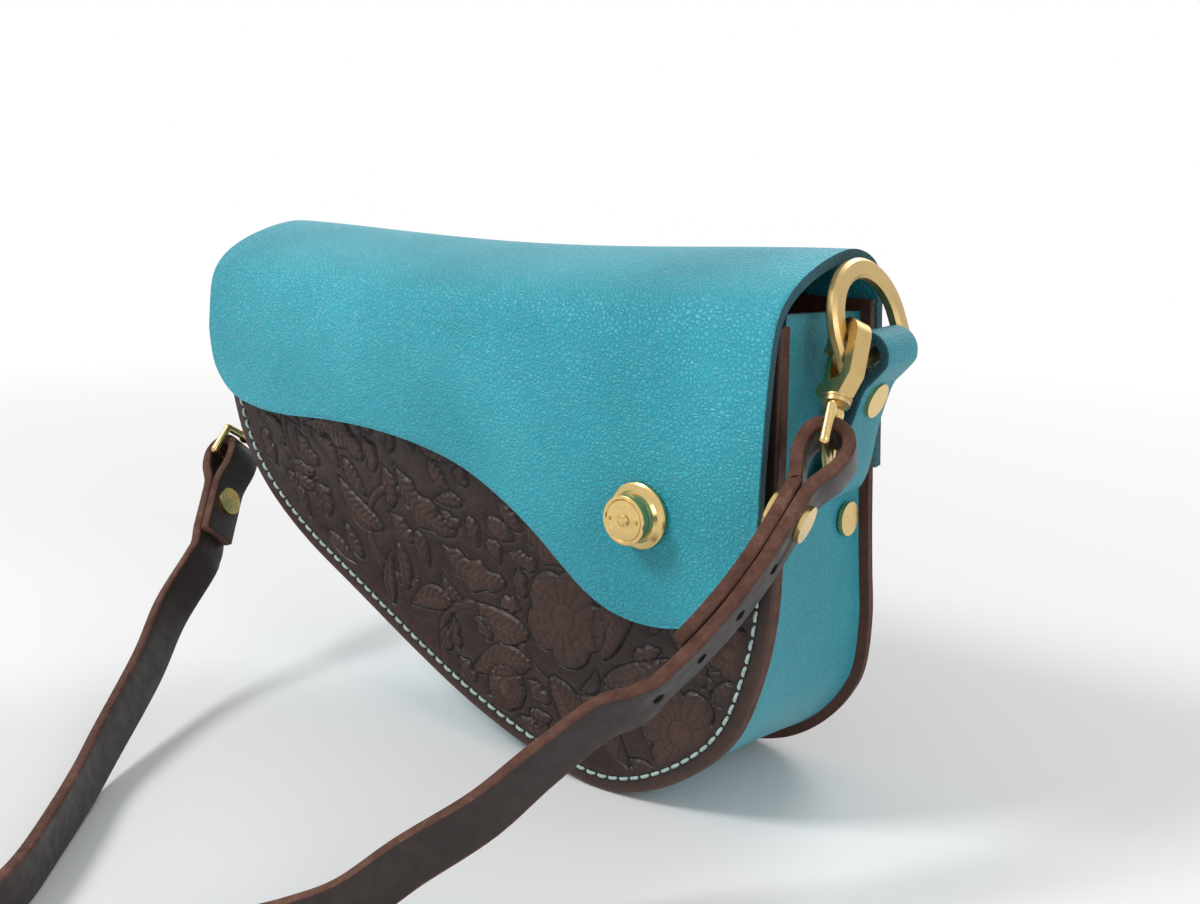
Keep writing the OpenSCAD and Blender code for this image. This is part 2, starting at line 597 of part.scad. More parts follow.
module tab_strip() {
    difference() {
        union() {
            intersection() {
                rotate([90, 0, 0]) linear_extrude(3 * tab_foot_w, center = true) tab_side_profile();
                rotate([90, 0, 90]) linear_extrude(4 * tab_ring_r, center = true) polygon([
                    [foot_lo, -cut], [foot_hi, -cut], [foot_hi, 0.2 * tab_len],
                    [0.58 * tab_w, 0.38 * tab_len], [tab_w / 2, 0.52 * tab_len], [tab_w / 2, tab_len],
                    [-tab_w / 2, tab_len], [-tab_w / 2, 0.56 * tab_len], [-0.56 * tab_w, 0.42 * tab_len],
                    [-0.8 * tab_w, 0.25 * tab_len], [foot_lo, 0.1 * tab_len]]);
            }
            translate([0, 0, tab_len]) rotate([90, 0, 0])
                cylinder(r = tab_ring_r, h = tab_w, center = true);
        }
        translate([0, 0, tab_len]) rotate([90, 0, 0])
            cylinder(d = tab_bore_d, h = tab_w + 2 * cut, center = true);
        translate([0, 0, tab_rivet_z]) rotate([0, 90, 0])
            cylinder(d = rivet_shank_d + 2 * fit, h = 4 * tab_t, center = true);
    }
}

// Frame of the foot: flat against the inside of the gusset, its z along the wall
foot_top = tab_slit_h / 2 - eps;
function foot_len(side) = tab_foot_lens[side > 0 ? 0 : 1];
function side_h(side) = side > 0 ? tab_h : left_tab_h;
function foot_slope(side) = let (z1 = side_h(side) + foot_top, z0 = side_h(side) - foot_len(side))
    atan((wall_in_x(side, z1) - wall_in_x(side, z0)) / (z1 - z0));
// The foot's length from its lower edge to the slit, along the wall
function foot_run(side) = foot_len(side) / cos(foot_slope(side));
module foot_frame(side) {
    z0 = side_h(side) - foot_len(side);
    translate([wall_in_x(side, z0), tab_y, z0]) rotate([0, foot_slope(side), 0])
        mirror([side > 0 ? 0 : 1, 0, 0]) children();
}
function plate_hi(side) = back_y(side_h(side) + foot_ear_h) - plate_gap - tab_y;
module tab_foot(side) {
    difference() {
        foot_frame(side) translate([-tab_t - eps / 2, 0, 0]) rotate([90, 0, 90]) linear_extrude(tab_t)
            polygon(concat([[plate_lo, 0], [plate_hi(side), 0], [plate_hi(side), foot_run(side) + foot_top]],
                side > 0 ? [[foot_ear_y - tab_y, foot_run(side) + foot_top],
                    [foot_ear_y - tab_y, foot_run(side) + foot_ear_h], [plate_lo, foot_run(side) + foot_ear_h]]
                : [[plate_lo, foot_run(side) + foot_top]]));
        foot_rivets(side) rotate([0, 90, 0])
            cylinder(d = rivet_shank_d + 2 * fit, h = 8 * tab_t, center = true);
    }
}

// Each foot rivet stands square on the gusset's outer face at its own height
function rivet_h(side, i) = side_h(side) - foot_rivet_drop[side > 0 ? 0 : 1][i];
function rivet_tilt(side, i) = atan((wall_x(side, rivet_h(side, i) + cut)
    - wall_x(side, rivet_h(side, i) - cut)) / (2 * cut));
foot_sag = [0.3, 0.9];
module foot_rivets(side) {
    for (i = [0, 1])
        translate([wall_x(side, rivet_h(side, i)), (i == 0 ? 1 : -1) * foot_rivet_y,
            rivet_h(side, i)])
            rotate([0, rivet_tilt(side, i), 0]) mirror([side > 0 ? 0 : 1, 0, 0]) children();
}

module tab(side) color(leather_blue) {
    tab_frame(side) tab_strip();
    tab_foot(side);
    // Bend of the leather through the slit
    tab_frame(side) translate([-foot_stack - eps, foot_lo + eps, -foot_top])
        cube([foot_stack + tab_t, tab_foot_w - 2 * eps, 2 * foot_top]);
}
module right_tab() placed() tab(1);
module left_tab() placed() tab(-1);

module rivet(grip) {
    rotate([0, 90, 0]) {
        cylinder(d = rivet_shank_d, h = grip);
        translate([0, 0, grip]) cylinder(d = rivet_d, h = rivet_head_t);
        translate([0, 0, -rivet_head_t]) cylinder(d = rivet_d, h = rivet_head_t);
    }
}
module tab_rivets(side) color(brass) {
    tab_frame(side) translate([-tab_t, 0, tab_rivet_z]) rivet(2 * tab_t);
    foot_rivets(side) translate([-foot_grip(side), 0, 0]) rivet(foot_grip(side));
}
module right_tab_rivets() placed() tab_rivets(1);
module left_tab_rivets() placed() tab_rivets(-1);

// Cast dee: a bevelled flat wire with a round bar, drawn standing on its bar
module dee_section() {
    w = dee_wire_w / 2; t = dee_wire_t / 2;
    polygon([[w, t - dee_bevel], [w - dee_bevel, t], [dee_bevel - w, t], [-w, t - dee_bevel],
        [-w, dee_bevel - t], [dee_bevel - w, -t], [w - dee_bevel, -t], [w, dee_bevel - t]]);
}
module dee() {
    rotate([0, 0, 90]) {
        translate([0, 0, dee_leg]) rotate([90, 0, 0])
            rotate_extrude(angle = 180) translate([dee_mid_r, 0]) dee_section();
        for (s = [1, -1]) translate([s * dee_mid_r, 0, 0]) {
            linear_extrude(dee_leg) dee_section();
            intersection() {
                translate([0, 0, -dee_bar_d / 2]) linear_extrude(dee_bar_d) dee_section();
                rotate([90, 0, 0]) cylinder(d = dee_wire_w, h = dee_wire_t, center = true);
            }
        }
        rotate([0, 90, 0]) cylinder(d = dee_bar_d, h = 2 * dee_mid_r, center = true);
        translate([dee_mid_r - dee_wire_w / 2 + dee_bump_r / 3, 0, dee_leg * 1.1]) rotate([90, 0, 0])
            cylinder(r = dee_bump_r, h = dee_wire_t - 2 * dee_bevel, center = true);
    }
}
module right_dee() placed() color(brass)
    translate(right_bar) rotate([dee_cock, 0, 0]) rotate([0, -dee_lean, 0]) mirror([0, 1, 0]) dee();
module left_dee() placed() color(brass)
    translate(left_bar) rotate([0, 180, 0]) mirror([0, 1, 0]) dee();

// Trigger snap: throat centre at the origin, swivel axis down along -z
module hook_outline() {
    difference() {
        union() {
            circle(r = hook_r + spine_w);
            translate([hook_r, hook_base_z]) square([spine_w, -hook_base_z]);
            translate([-hook_r - nose_w, -nose_drop]) square([nose_w, nose_drop]);
            translate(gate_pivot) circle(r = gate_lug_r);
            polygon([[hook_r + spine_w, hook_base_z + hook_r], [hook_r + spine_w, hook_base_z],
                [collar_d / 2, hook_collar_z], [-collar_d / 2, hook_collar_z],
                [-hook_r - nose_w, gate_pivot.y], [-hook_r - nose_w / 2, hook_base_z],
                [hook_r, hook_base_z], [hook_r, hook_base_z + hook_r]]);
        }
        circle(r = hook_r);
        translate([-hook_r, hook_base_z]) square([2 * hook_r, -hook_base_z]);
        translate([-2 * hook_r - 2 * spine_w, hook_base_z]) square([hook_r + 2 * spine_w, -hook_base_z - nose_drop]);
        translate([-2 * hook_r - 2 * nose_w - hook_r, 0]) square([2 * hook_r + nose_w, spine_w + hook_r]);
    }
}
nose_drop = 1.4;
gate_lug_r = 2.1;
thumb_len = 7.4;
thumb_w = 1.7;
thumb_z = -8.4;

module hook() {
    difference() {
        union() {
            rotate([90, 0, 0]) linear_extrude(hook_t, center = true) hook_outline();
            translate([0, 0, hook_collar_z - collar_h]) cylinder(d = collar_d, h = collar_h + fit);
            translate([0, 0, hook_collar_z - collar_h / 3]) cylinder(d = collar_d + collar_h / 4, h = collar_h / 3);
        }
        // Slot and bore for the gate
        translate([gate_pivot.x - 2 * gate_w, -gate_t / 2 - fit, gate_pivot.y - gate_w])
            cube([3.4 * gate_w, gate_t + 2 * fit, hook_r * 2 + gate_w]);
        translate([gate_pivot.x, 0, gate_pivot.y]) rotate([90, 0, 0])
            cylinder(d = gate_pin_d, h = hook_t + 2 * cut, center = true);
        // Swivel bore
        translate([0, 0, hook_collar_z - collar_h - cut]) cylinder(d = eye_stem_d + 2 * fit, h = collar_h + 2 * cut);
        translate([0, 0, hook_collar_z - collar_h / 3]) cylinder(d = eye_head_d + 4 * fit, h = eye_head_t + 4 * fit);
    }
}
eye_head_d = 4.2;
eye_head_t = 1.2;
module right_hook() placed() color(brass) hook_frame(0) hook();
module left_hook() placed() color(brass) hook_frame(1) hook();

module gate() {
    tip = -nose_drop - eps / 2;
    difference() {
        rotate([90, 0, 0]) linear_extrude(gate_t, center = true) union() {
            translate(gate_pivot) circle(d = gate_w * 1.2);
            polygon([[gate_pivot.x - gate_w * 0.6, gate_pivot.y], [gate_pivot.x + gate_w * 0.6, gate_pivot.y],
                [gate_pivot.x + gate_w * 0.5, tip], [gate_pivot.x - gate_w * 0.5, tip]]);
        }
        translate([gate_pivot.x, 0, gate_pivot.y]) rotate([90, 0, 0])
            cylinder(d = gate_pin_d + 2 * fit, h = gate_t + 2 * cut, center = true);
    }
    // Thumb lever
    translate([gate_pivot.x, 0, thumb_z]) rotate([-90, 0, 0]) {
        cylinder(d = thumb_w, h = thumb_len);
        translate([0, 0, thumb_len - thumb_w]) cylinder(d = 1.4 * thumb_w, h = thumb_w);
    }
}
module right_gate() placed() color(brass) hook_frame(0) gate();
module left_gate() placed() color(brass) hook_frame(1) gate();

module gate_pin() translate([gate_pivot.x, 0, gate_pivot.y]) rotate([90, 0, 0])
    cylinder(d = gate_pin_d, h = hook_t, center = true);
module right_gate_pin() placed() color(brass) hook_frame(0) gate_pin();
module left_gate_pin() placed() color(brass) hook_frame(1) gate_pin();

// A round rod between two points
module rod(p, q, d) {
    v = q - p;
    translate(p) rotate([0, atan2(norm([v.x, v.y]), v.z), atan2(v.y, v.x)]) cylinder(d = d, h = norm(v));
}
module eye() {
    top = hook_collar_z - collar_h;
    shoulder = -eye_drop + eye_shoulder;
    translate([0, 0, top - eye_ball_d / 2 + fit]) {
        translate([0, 0, -eps]) sphere(d = eye_ball_d);
        translate([0, 0, -eps]) cylinder(d = eye_stem_d, h = eye_ball_d / 2 + collar_h * 0.67 + fit + eye_head_t / 2);
    }
    translate([0, 0, hook_collar_z - collar_h / 3 + fit]) cylinder(d = eye_head_d, h = eye_head_t);
    for (s = [1, -1]) {
        rod([0, 0, top - eye_ball_d * 0.6], [0, s * eye_half, shoulder], eye_wire_d);
        translate([0, s * eye_half, shoulder]) sphere(d = eye_wire_d);
        rod([0, s * eye_half, shoulder], [0, s * eye_half, -eye_drop], eye_wire_d);
        translate([0, s * eye_half, -eye_drop]) sphere(d = eye_wire_d);
    }
    rod([0, -eye_half, -eye_drop], [0, eye_half, -eye_drop], eye_wire_d);
}
module right_eye() placed() color(brass) swivel_frame(0) rotate([0, 0, eye_turn[0]]) eye();
module left_eye() placed() color(brass) swivel_frame(1) rotate([0, 0, eye_turn[1]]) eye();

// Frame of a strap screw: z along its axis, towards the long layer's outer face
module screw_frame(s) {
    swivel_frame(s) rotate([0, 0, eye_turn[s]]) translate([0, 0, -eye_drop])
        rotate([0, strap_leave[s], 0]) translate([0, 0, loop_back - screw_along])
        rotate([0, 90, 0]) children();
}
// The same along the bent end, for the adjusting holes
module strap_hole_frame(s, u) {
    q = bent(s, u, 0);
    swivel_frame(s) rotate([0, 0, eye_turn[s]]) translate([0, 0, -eye_drop])
        rotate([0, strap_leave[s], 0]) translate([q.y, 0, loop_back - q.x])
        rotate([0, 90 + bend_a(s, u), 0]) children();
}
grip = strap_t + layer_gap / 2;
module strap_post(s) color(brass) screw_frame(s) difference() {
    union() {
        translate([0, 0, -grip]) cylinder(d = post_d, h = 2 * grip);
        translate([0, 0, grip]) cylinder(d = screw_d, h = screw_head_t);
    }
    translate([0, 0, -grip - cut]) cylinder(d = post_d * 0.6 + 2 * fit, h = 2 * grip + cut);
}
module strap_screw(s) color(brass) screw_frame(s) difference() {
    union() {
        translate([0, 0, -grip - screw_head_t]) cylinder(d = screw_d, h = screw_head_t);
        translate([0, 0, -grip - fit]) cylinder(d = post_d * 0.6, h = 1.5 * grip);
    }
    translate([-screw_d, -screw_head_t / 3, -grip - screw_head_t - cut])
        cube([2 * screw_d, screw_head_t / 1.5, cut + screw_head_t / 2]);
}
module right_strap_post() placed() strap_post(0);
module right_strap_screw() placed() strap_screw(0);
module left_strap_post() placed() strap_post(1);
module left_strap_screw() placed() strap_screw(1);

module strap() placed() color(leather_strap) difference() {
    sweep(rings);
    for (s = [0, 1]) screw_frame(s)
        cylinder(d = post_d + 4 * fit, h = 4 * grip, center = true, $fn = 24);
    for (k = [0:3]) strap_hole_frame(0, hole_first + k * hole_step)
        cylinder(d = hole_d, h = 4 * grip, center = true, $fn = 16);
}

front_panel();
back_panel();
gusset();
flap_back();
flap();
clasp_base();
clasp_nut();
clasp_cap();
clasp_screw();
clasp_stud();
stud_screw();
right_tab();
left_tab();
right_tab_rivets();
left_tab_rivets();
right_dee();
left_dee();
right_hook();
left_hook();
right_gate();
left_gate();
right_gate_pin();
left_gate_pin();
right_eye();
left_eye();
strap();
right_strap_post();
right_strap_screw();
left_strap_post();
left_strap_screw();
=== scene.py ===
# %% [markdown]
# A small saddle bag in tooled and pebbled leather.
#
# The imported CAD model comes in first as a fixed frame. Hardware keeps its CAD solids and
# only gets a brass finish. Leather is soft and carries the looks, so each leather piece is
# built again here, in the space that its CAD solid holds.

# %% Load the frame
import bpy, math, random
import numpy as np
from mathutils import Vector, Matrix


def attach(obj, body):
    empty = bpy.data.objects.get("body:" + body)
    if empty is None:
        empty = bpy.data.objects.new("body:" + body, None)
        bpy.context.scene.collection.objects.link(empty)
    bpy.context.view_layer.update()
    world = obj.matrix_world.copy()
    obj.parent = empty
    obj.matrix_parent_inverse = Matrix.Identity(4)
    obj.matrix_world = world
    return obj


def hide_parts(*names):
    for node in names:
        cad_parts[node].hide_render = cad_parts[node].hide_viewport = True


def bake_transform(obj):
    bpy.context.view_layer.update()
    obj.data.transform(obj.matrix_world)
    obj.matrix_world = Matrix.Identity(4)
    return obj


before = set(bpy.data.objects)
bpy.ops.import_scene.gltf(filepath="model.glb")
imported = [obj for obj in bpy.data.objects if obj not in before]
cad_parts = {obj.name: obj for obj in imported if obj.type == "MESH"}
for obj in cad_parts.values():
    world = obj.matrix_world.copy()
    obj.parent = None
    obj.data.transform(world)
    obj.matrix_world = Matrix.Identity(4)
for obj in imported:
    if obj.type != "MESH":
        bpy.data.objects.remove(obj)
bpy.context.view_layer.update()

# %% [markdown]
# All sizes below are millimetres in the maker's own frame: X to the bag's right, Y to its
# back, Z up, with the front panel's inside at y = -22. `to_world` adds the shift that puts
# the whole part's box on the origin, and turns millimetres into Blender's metres.

# %% Shared sizes
SHIFT = np.array([75.6, 89.3, 0.0])
BODY_RIGHT, BODY_W, OUTLINE_H = 52.0, 220.0, 139.0
FRONT_IN_Y, FRONT_T, BACK_T, GUSSET_T = -22.0, 3.8, 3.8, 2.6
BODY_D, BACK_LEAN, EDGE_PROUD = 51.5, math.radians(4.2), 3.0
PANEL_FRONT_Y = FRONT_IN_Y - FRONT_T
STITCH_IN, STITCH_STEP = 4.6, 4.0
BACK_IN_Y = FRONT_IN_Y + BODY_D
FRONT_TOP, BACK_TOP = 138.0, 141.0


def to_world(points):
    return (np.asarray(points, float) + SHIFT) / 1000


def crom(points, n):
    """Catmull-Rom curve through the points, n steps between each pair."""
    p = np.asarray(points, float)
    out = []
    for i in range(len(p) - 1):
        a, b, c, d = p[max(i - 1, 0)], p[i], p[i + 1], p[min(i + 2, len(p) - 1)]
        for k in range(n):
            s = k / n
            out.append(0.5 * (2 * b + (c - a) * s + (2 * a - 5 * b + 4 * c - d) * s * s
                              + (3 * b - a - 3 * c + d) * s ** 3))
    return np.array(out + [p[-1]])


def headings(curve):
    """Unit directions along a curve, at each of its points."""
    t = np.gradient(curve, axis=0)
    return t / np.linalg.norm(t, axis=1)[:, None]


def lengths(curve):
    """How far along a curve each of its points is."""
    return np.concatenate([[0], np.cumsum(np.linalg.norm(np.diff(curve, axis=0), axis=1))])


# %% [markdown]
# Both panels share one outline, written as shares of the width from the right edge and of
# the height. The back panel's lobe is a little fuller.

# %% Outlines of the panels and the flap
PANEL = [(0, 1.03), (0, .83), (0, .66), (0, .55), (.003, .46), (.014, .36), (.039, .237),
         (.07, .158), (.114, .094), (.164, .043), (.214, .011), (.264, 0), (.314, .011),
         (.395, .042), (.491, .097), (.591, .173), (.718, .281), (.814, .363), (.882, .439),
         (.932, .518), (.966, .604), (.986, .705), (.998, .82), (.994, .91), (.965, .975),
         (.918, 1)]
BACK = [(0, 1.03), (0, .83), (0, .66), (0, .55), (-.001, .46), (-.002, .36), (.006, .25),
        (.024, .18), (.06, .105), (.11, .045), (.165, .012), (.225, 0)] + PANEL[12:]
FLAP = [(0, .85), (0, .643), (.005, .276), (.014, .173), (.037, .092), (.073, .041),
        (.119, .01), (.165, 0), (.211, .013), (.252, .051), (.294, .117), (.339, .194),
        (.394, .27), (.459, .337), (.532, .378), (.624, .403), (.725, .408), (.835, .398),
        (.908, .413), (.954, .449), (.986, .526), (1, .643)]
FLAP_W, FLAP_TOP, FLAP_LOW, HINGE_Z = 218.0, 155.0, 57.0, 138.0


def outline(rows, n=8):
    """The outline in millimetres, from the right top corner round the lobe to the left top."""
    return crom([(BODY_RIGHT - a * BODY_W, b * OUTLINE_H) for a, b in rows], n)


def span(curve, z):
    """Left and right x of a closed outline at height z."""
    p, q = curve, np.roll(curve, -1, 0)
    hit = (p[:, 1] > z) != (q[:, 1] > z)
    x = p[hit, 0] + (z - p[hit, 1]) * (q[hit, 0] - p[hit, 0]) / (q[hit, 1] - p[hit, 1])
    return x.min(), x.max()


def distance(points, curve, closed=False):
    """Distance of each 2-D point from a polyline, and the place along it of the nearest point."""
    a, b = (curve, np.roll(curve, -1, 0)) if closed else (curve[:-1], curve[1:])
    best, place = np.full(len(points), 1e9), np.zeros(len(points))
    run = 0.0
    for p, q in zip(a, b):
        v = q - p
        length = math.hypot(*v)
        if length < 1e-9:
            continue
        t = np.clip(((points - p) @ v) / length ** 2, 0, 1)
        d = np.hypot(*(points - p - t[:, None] * v).T)
        near = d < best
        best[near] = d[near]
        place[near] = run + t[near] * length
        run += length
    return best, place


def inside(points, curve):
    """True for each 2-D point inside a closed outline."""
    result = np.zeros(len(points), bool)
    for p, q in zip(curve, np.roll(curve, -1, 0)):
        cross = (p[1] > points[:, 1]) != (q[1] > points[:, 1])
        with np.errstate(divide="ignore", invalid="ignore"):
            x = p[0] + (points[:, 1] - p[1]) * (q[0] - p[0]) / (q[1] - p[1])
        result ^= cross & (points[:, 0] < x)
    return result


panel_line, back_line = outline(PANEL), outline(BACK)
print("front outline", len(panel_line), "points, back", len(back_line))

# %% [markdown]
# One helper turns arrays of points into a finished piece: it makes the mesh, shades it,
# hands each face its material, and tells the frame which body it rides on and which CAD
# solids it stands for.


# %% Make a piece
def add_object(name, data):
    obj = bpy.data.objects.new(name, data)
    bpy.context.scene.collection.objects.link(obj)
    return obj


def piece(name, points, faces, materials, body, replaces=(), which=None, flat=(), tone=None):
    """A mesh piece from millimetre points; body None leaves it attached to no body."""
    mesh = bpy.data.meshes.new(name)
    mesh.from_pydata(to_world(points).tolist(), [], [list(map(int, f)) for f in faces])
    obj = add_object(name, mesh)
    for m in materials:
        mesh.materials.append(m)
    smooth = np.ones(len(mesh.polygons), bool)
    if len(flat):
        smooth[list(flat)] = False
    mesh.polygons.foreach_set("use_smooth", smooth)
    if which is not None:
        mesh.polygons.foreach_set("material_index", np.asarray(which, np.int32))
    if tone is not None:
        mesh.attributes.new("tone", "FLOAT", "POINT").data.foreach_set(
            "value", np.asarray(tone, np.float32))
    mesh.validate()
    mesh.update()
    if body:
        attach(obj, body)
    if replaces:
        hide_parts(*replaces)
    print(f"{name}: {len(mesh.vertices)} points, {len(mesh.polygons)} faces")
    return obj


def grid_faces(rows, cols, start=0, flip=False):
    """Quads of a grid of points that are stored row by row from start."""
    r, c = np.meshgrid(np.arange(rows - 1), np.arange(cols - 1), indexing="ij")
    a = (start + r * cols + c).ravel()
    quad = np.stack([a, a + 1, a + cols + 1, a + cols], 1)
    return quad[:, ::-1] if flip else quad


def bake(obj):
    """Applies the object's modifiers to its mesh."""
    graph = bpy.context.evaluated_depsgraph_get()
    mesh = bpy.data.meshes.new_from_object(obj.evaluated_get(graph))
    obj.modifiers.clear()
    obj.data = mesh
    return obj


# %% [markdown]
# Every finish is built from a few nodes. These helpers make one node each, join it up and
# hand back its output, so that a material below reads like a sum.


# %% Node helpers
def new_material(name):
    """A new material, its node tree and its shader."""
    m = bpy.data.materials.new(name)
    m.use_nodes = True
    return m, m.node_tree, m.node_tree.nodes["Principled BSDF"]


def node(tree, kind, **values):
    """A new node; each value goes to the input of that name, or else to the setting."""
    n = tree.nodes.new(kind)
    for k, v in values.items():
        if k in n.inputs:
            n.inputs[k].default_value = v
        else:
            setattr(n, k, v)
    return n


def coords(tree):
    return node(tree, "ShaderNodeTexCoord").outputs["Object"]


def noise(tree, where, scale, detail=4.0, rough=0.5, distortion=0.0, output="Fac"):
    n = node(tree, "ShaderNodeTexNoise", Scale=scale, Detail=detail, Roughness=rough,
             Distortion=distortion)
    tree.links.new(where, n.inputs["Vector"])
    return n.outputs[output]


def ramp(tree, value, stops):
    r = node(tree, "ShaderNodeValToRGB")
    while len(r.color_ramp.elements) < len(stops):
        r.color_ramp.elements.new(0.5)
    for e, (place, colour) in zip(r.color_ramp.elements, stops):
        e.position = place
        e.color = (*colour, 1)
    tree.links.new(value, r.inputs["Fac"])
    return r.outputs["Color"]


def maths(tree, operation, a, b):
    n = node(tree, "ShaderNodeMath", operation=operation)
    for i, v in enumerate((a, b)):
        if isinstance(v, (int, float)):
            n.inputs[i].default_value = v
        else:
            tree.links.new(v, n.inputs[i])
    return n.outputs[0]


def bump(tree, height, depth, strength=1.0, after=None):
    n = node(tree, "ShaderNodeBump", Strength=strength, Distance=depth)
    tree.links.new(height, n.inputs["Height"])
    if after is not None:
        tree.links.new(after, n.inputs["Normal"])
    return n.outputs["Normal"]


def bent(tree, where, scale, amount):
    """Coordinates pushed about by noise."""
    v = node(tree, "ShaderNodeVectorMath", operation="MULTIPLY_ADD")
    tree.links.new(noise(tree, where, scale, 2.0, output="Color"), v.inputs[0])
    v.inputs[1].default_value = (amount,) * 3
    tree.links.new(where, v.inputs[2])
    return v.outputs[0]


def cell_edges(tree, where, scale):
    n = node(tree, "ShaderNodeTexVoronoi", feature="DISTANCE_TO_EDGE", Scale=scale)
    tree.links.new(where, n.inputs["Vector"])
    return n.outputs["Distance"]


# %% [markdown]
# Real pebbled leather is small rounded cells with creases between them. A cell pattern, bent
# by noise, gives the same picture: its distance to the cell's edge lifts the middle of each
# pebble and also darkens the colour in the creases as painted shade, and a broad noise changes the dye
# from place to place.


# %% Pebbled leather
def pebbled(name, dark, mid, light, rough=0.42, grain=780.0, depth=0.00016):
    m, t, b = new_material(name)
    where = coords(t)
    pushed = bent(t, where, 260.0, 0.0016)
    pebble = cell_edges(t, pushed, grain)
    soft = ramp(t, pebble, [(0.0, (0, 0, 0)), (0.22, (.75, .75, .75)), (0.55, (1, 1, 1))])
    dye = noise(t, where, 16.0, 5.0)
    fine = noise(t, where, 2400.0, 3.0)
    # The pebble height darkens the colour towards the creases: painted shade.
    tint = maths(t, "ADD", maths(t, "MULTIPLY", dye, 0.7),
                 maths(t, "MULTIPLY", maths(t, "ADD", soft, fine), 0.2))
    colour = ramp(t, tint, [(0.28, dark), (0.52, mid), (0.78, light)])
    t.links.new(colour, b.inputs["Base Color"])
    t.links.new(ramp(t, dye, [(0.3, (rough + .08,) * 3), (0.7, (rough - .05,) * 3)]),
                b.inputs["Roughness"])
    coarse = bump(t, noise(t, where, 60.0, 3.0), 0.0006, 0.35)
    t.links.new(bump(t, maths(t, "ADD", soft, maths(t, "MULTIPLY", fine, 0.35)), depth, 0.85,
                     coarse), b.inputs["Normal"])
    b.inputs["Specular IOR Level"].default_value = 0.45
    b.inputs["Sheen Weight"].default_value = 0.12
    b.inputs["Sheen Roughness"].default_value = 0.4
    return m


blue = pebbled("flap_blue", (.010, .24, .31), (.018, .345, .435), (.045, .46, .56), 0.4, 760.0, 0.00030)
# The gusset's and the tabs' blue is a darker copy of the flap's leather: painted shade for the sides
# turned from the light.
blue_side_painted_shade = pebbled("gusset_blue_painted_shade", (.010, .19, .24), (.016, .275, .345), (.035, .36, .44), 0.5,
                    850.0, 0.00018)
blue_edge = pebbled("cut_edge_blue", (.003, .035, .055), (.006, .07, .10), (.02, .13, .17), 0.75,
                    1500.0, 0.0002)


# %% [markdown]
# The tooled panel's mesh carries a number at every point, called tone: low in the cuts and
# the matted ground, high on the rubbed tops. The finish reads it, so dye sits dark in the
# hollows as antique stain does.


# %% Brown leathers
def brown(name, stops, rough, toned=False, streak=0.0, depth=0.00012, scale=1400.0):
    m, t, b = new_material(name)
    where = coords(t)
    fine = noise(t, where, scale, 4.0, 0.6)
    broad = noise(t, where, 22.0, 5.0, 0.6)
    blotch = noise(t, where, 240.0, 3.0, 0.6)
    tint = maths(t, "ADD", maths(t, "MULTIPLY", broad, 0.45),
                 maths(t, "ADD", maths(t, "MULTIPLY", fine, 0.2), maths(t, "MULTIPLY", blotch, 0.3)))
    if streak:
        s = node(t, "ShaderNodeMapping")
        s.inputs["Rotation"].default_value = (0, math.radians(62), 0)
        s.inputs["Scale"].default_value = (14, 30, 260)
        t.links.new(where, s.inputs["Vector"])
        lines = noise(t, s.outputs[0], 3.0, 4.0, 0.6, 0.6)
        tint = maths(t, "ADD", tint, maths(t, "MULTIPLY", maths(t, "SUBTRACT", lines, 0.5), streak))
    if toned:
        a = node(t, "ShaderNodeAttribute", attribute_name="tone")
        tint = maths(t, "ADD", maths(t, "MULTIPLY", tint, 0.6),
                     maths(t, "MULTIPLY", a.outputs["Fac"], 0.5))
    t.links.new(ramp(t, tint, stops), b.inputs["Base Color"])
    t.links.new(ramp(t, blotch, [(0.3, (rough + .1,) * 3), (0.7, (rough - .08,) * 3)]),
                b.inputs["Roughness"])
    pores = bump(t, fine, depth, 0.8, bump(t, blotch, depth * 2, 0.5))
    t.links.new(pores, b.inputs["Normal"])
    b.inputs["Specular IOR Level"].default_value = 0.4
    return m


tooled = brown("tooled_brown", [(0.28, (.007, .004, .004)), (0.50, (.026, .012, .009)),
                                (0.68, (.062, .027, .018)), (0.95, (.16, .070, .046))], 0.42, True, 0.25)
back_brown = brown("back_brown", [(0.25, (.045, .016, .010)), (0.5, (.095, .036, .022)),
                                  (0.8, (.17, .07, .045))], 0.5)
raw_brown = brown("raw_edge_brown", [(0.3, (.03, .010, .007)), (0.5, (.11, .045, .028)),
                                     (0.72, (.27, .14, .10))], 0.8, depth=0.0004, scale=900.0)
strap_brown = brown("strap_brown", [(0.25, (.011, .007, .006)), (0.5, (.027, .017, .015)),
                                    (0.8, (.060, .041, .036))], 0.42, depth=0.00008)

# %% [markdown]
# Brass shows light mostly as reflection, so its life is in small changes of roughness: a
# polished part still has faint handling marks and a warmer cast in places. The dees and
# hooks are cast, so they are a little duller than the turned pieces.


# %% Brass and thread
def brass_finish(name, tint, rough):
    m, t, b = new_material(name)
    where = coords(t)
    marks = noise(t, where, 420.0, 6.0, 0.65, 0.8)
    warm = noise(t, where, 70.0, 3.0)
    t.links.new(ramp(t, warm, [(0.3, tuple(.86 * v for v in tint)), (0.7, tint)]),
                b.inputs["Base Color"])
    b.inputs["Metallic"].default_value = 1.0
    t.links.new(ramp(t, marks, [(0.35, (rough,) * 3), (0.75, (rough + .16,) * 3)]),
                b.inputs["Roughness"])
    t.links.new(bump(t, marks, 0.00003, 0.35), b.inputs["Normal"])
    return m


brass = brass_finish("polished_brass", (.80, .58, .24), 0.17)
cast_brass = brass_finish("cast_brass", (.70, .50, .22), 0.30)


# The punches' finish is near black and goes onto the walls of the strap's holes: painted shade inside the
# holes.
def hole_shade_finish(name):
    m, _, b = new_material(name)
    b.inputs["Base Color"].default_value = (.004, .003, .003, 1)
    b.inputs["Roughness"].default_value = 0.9
    return m


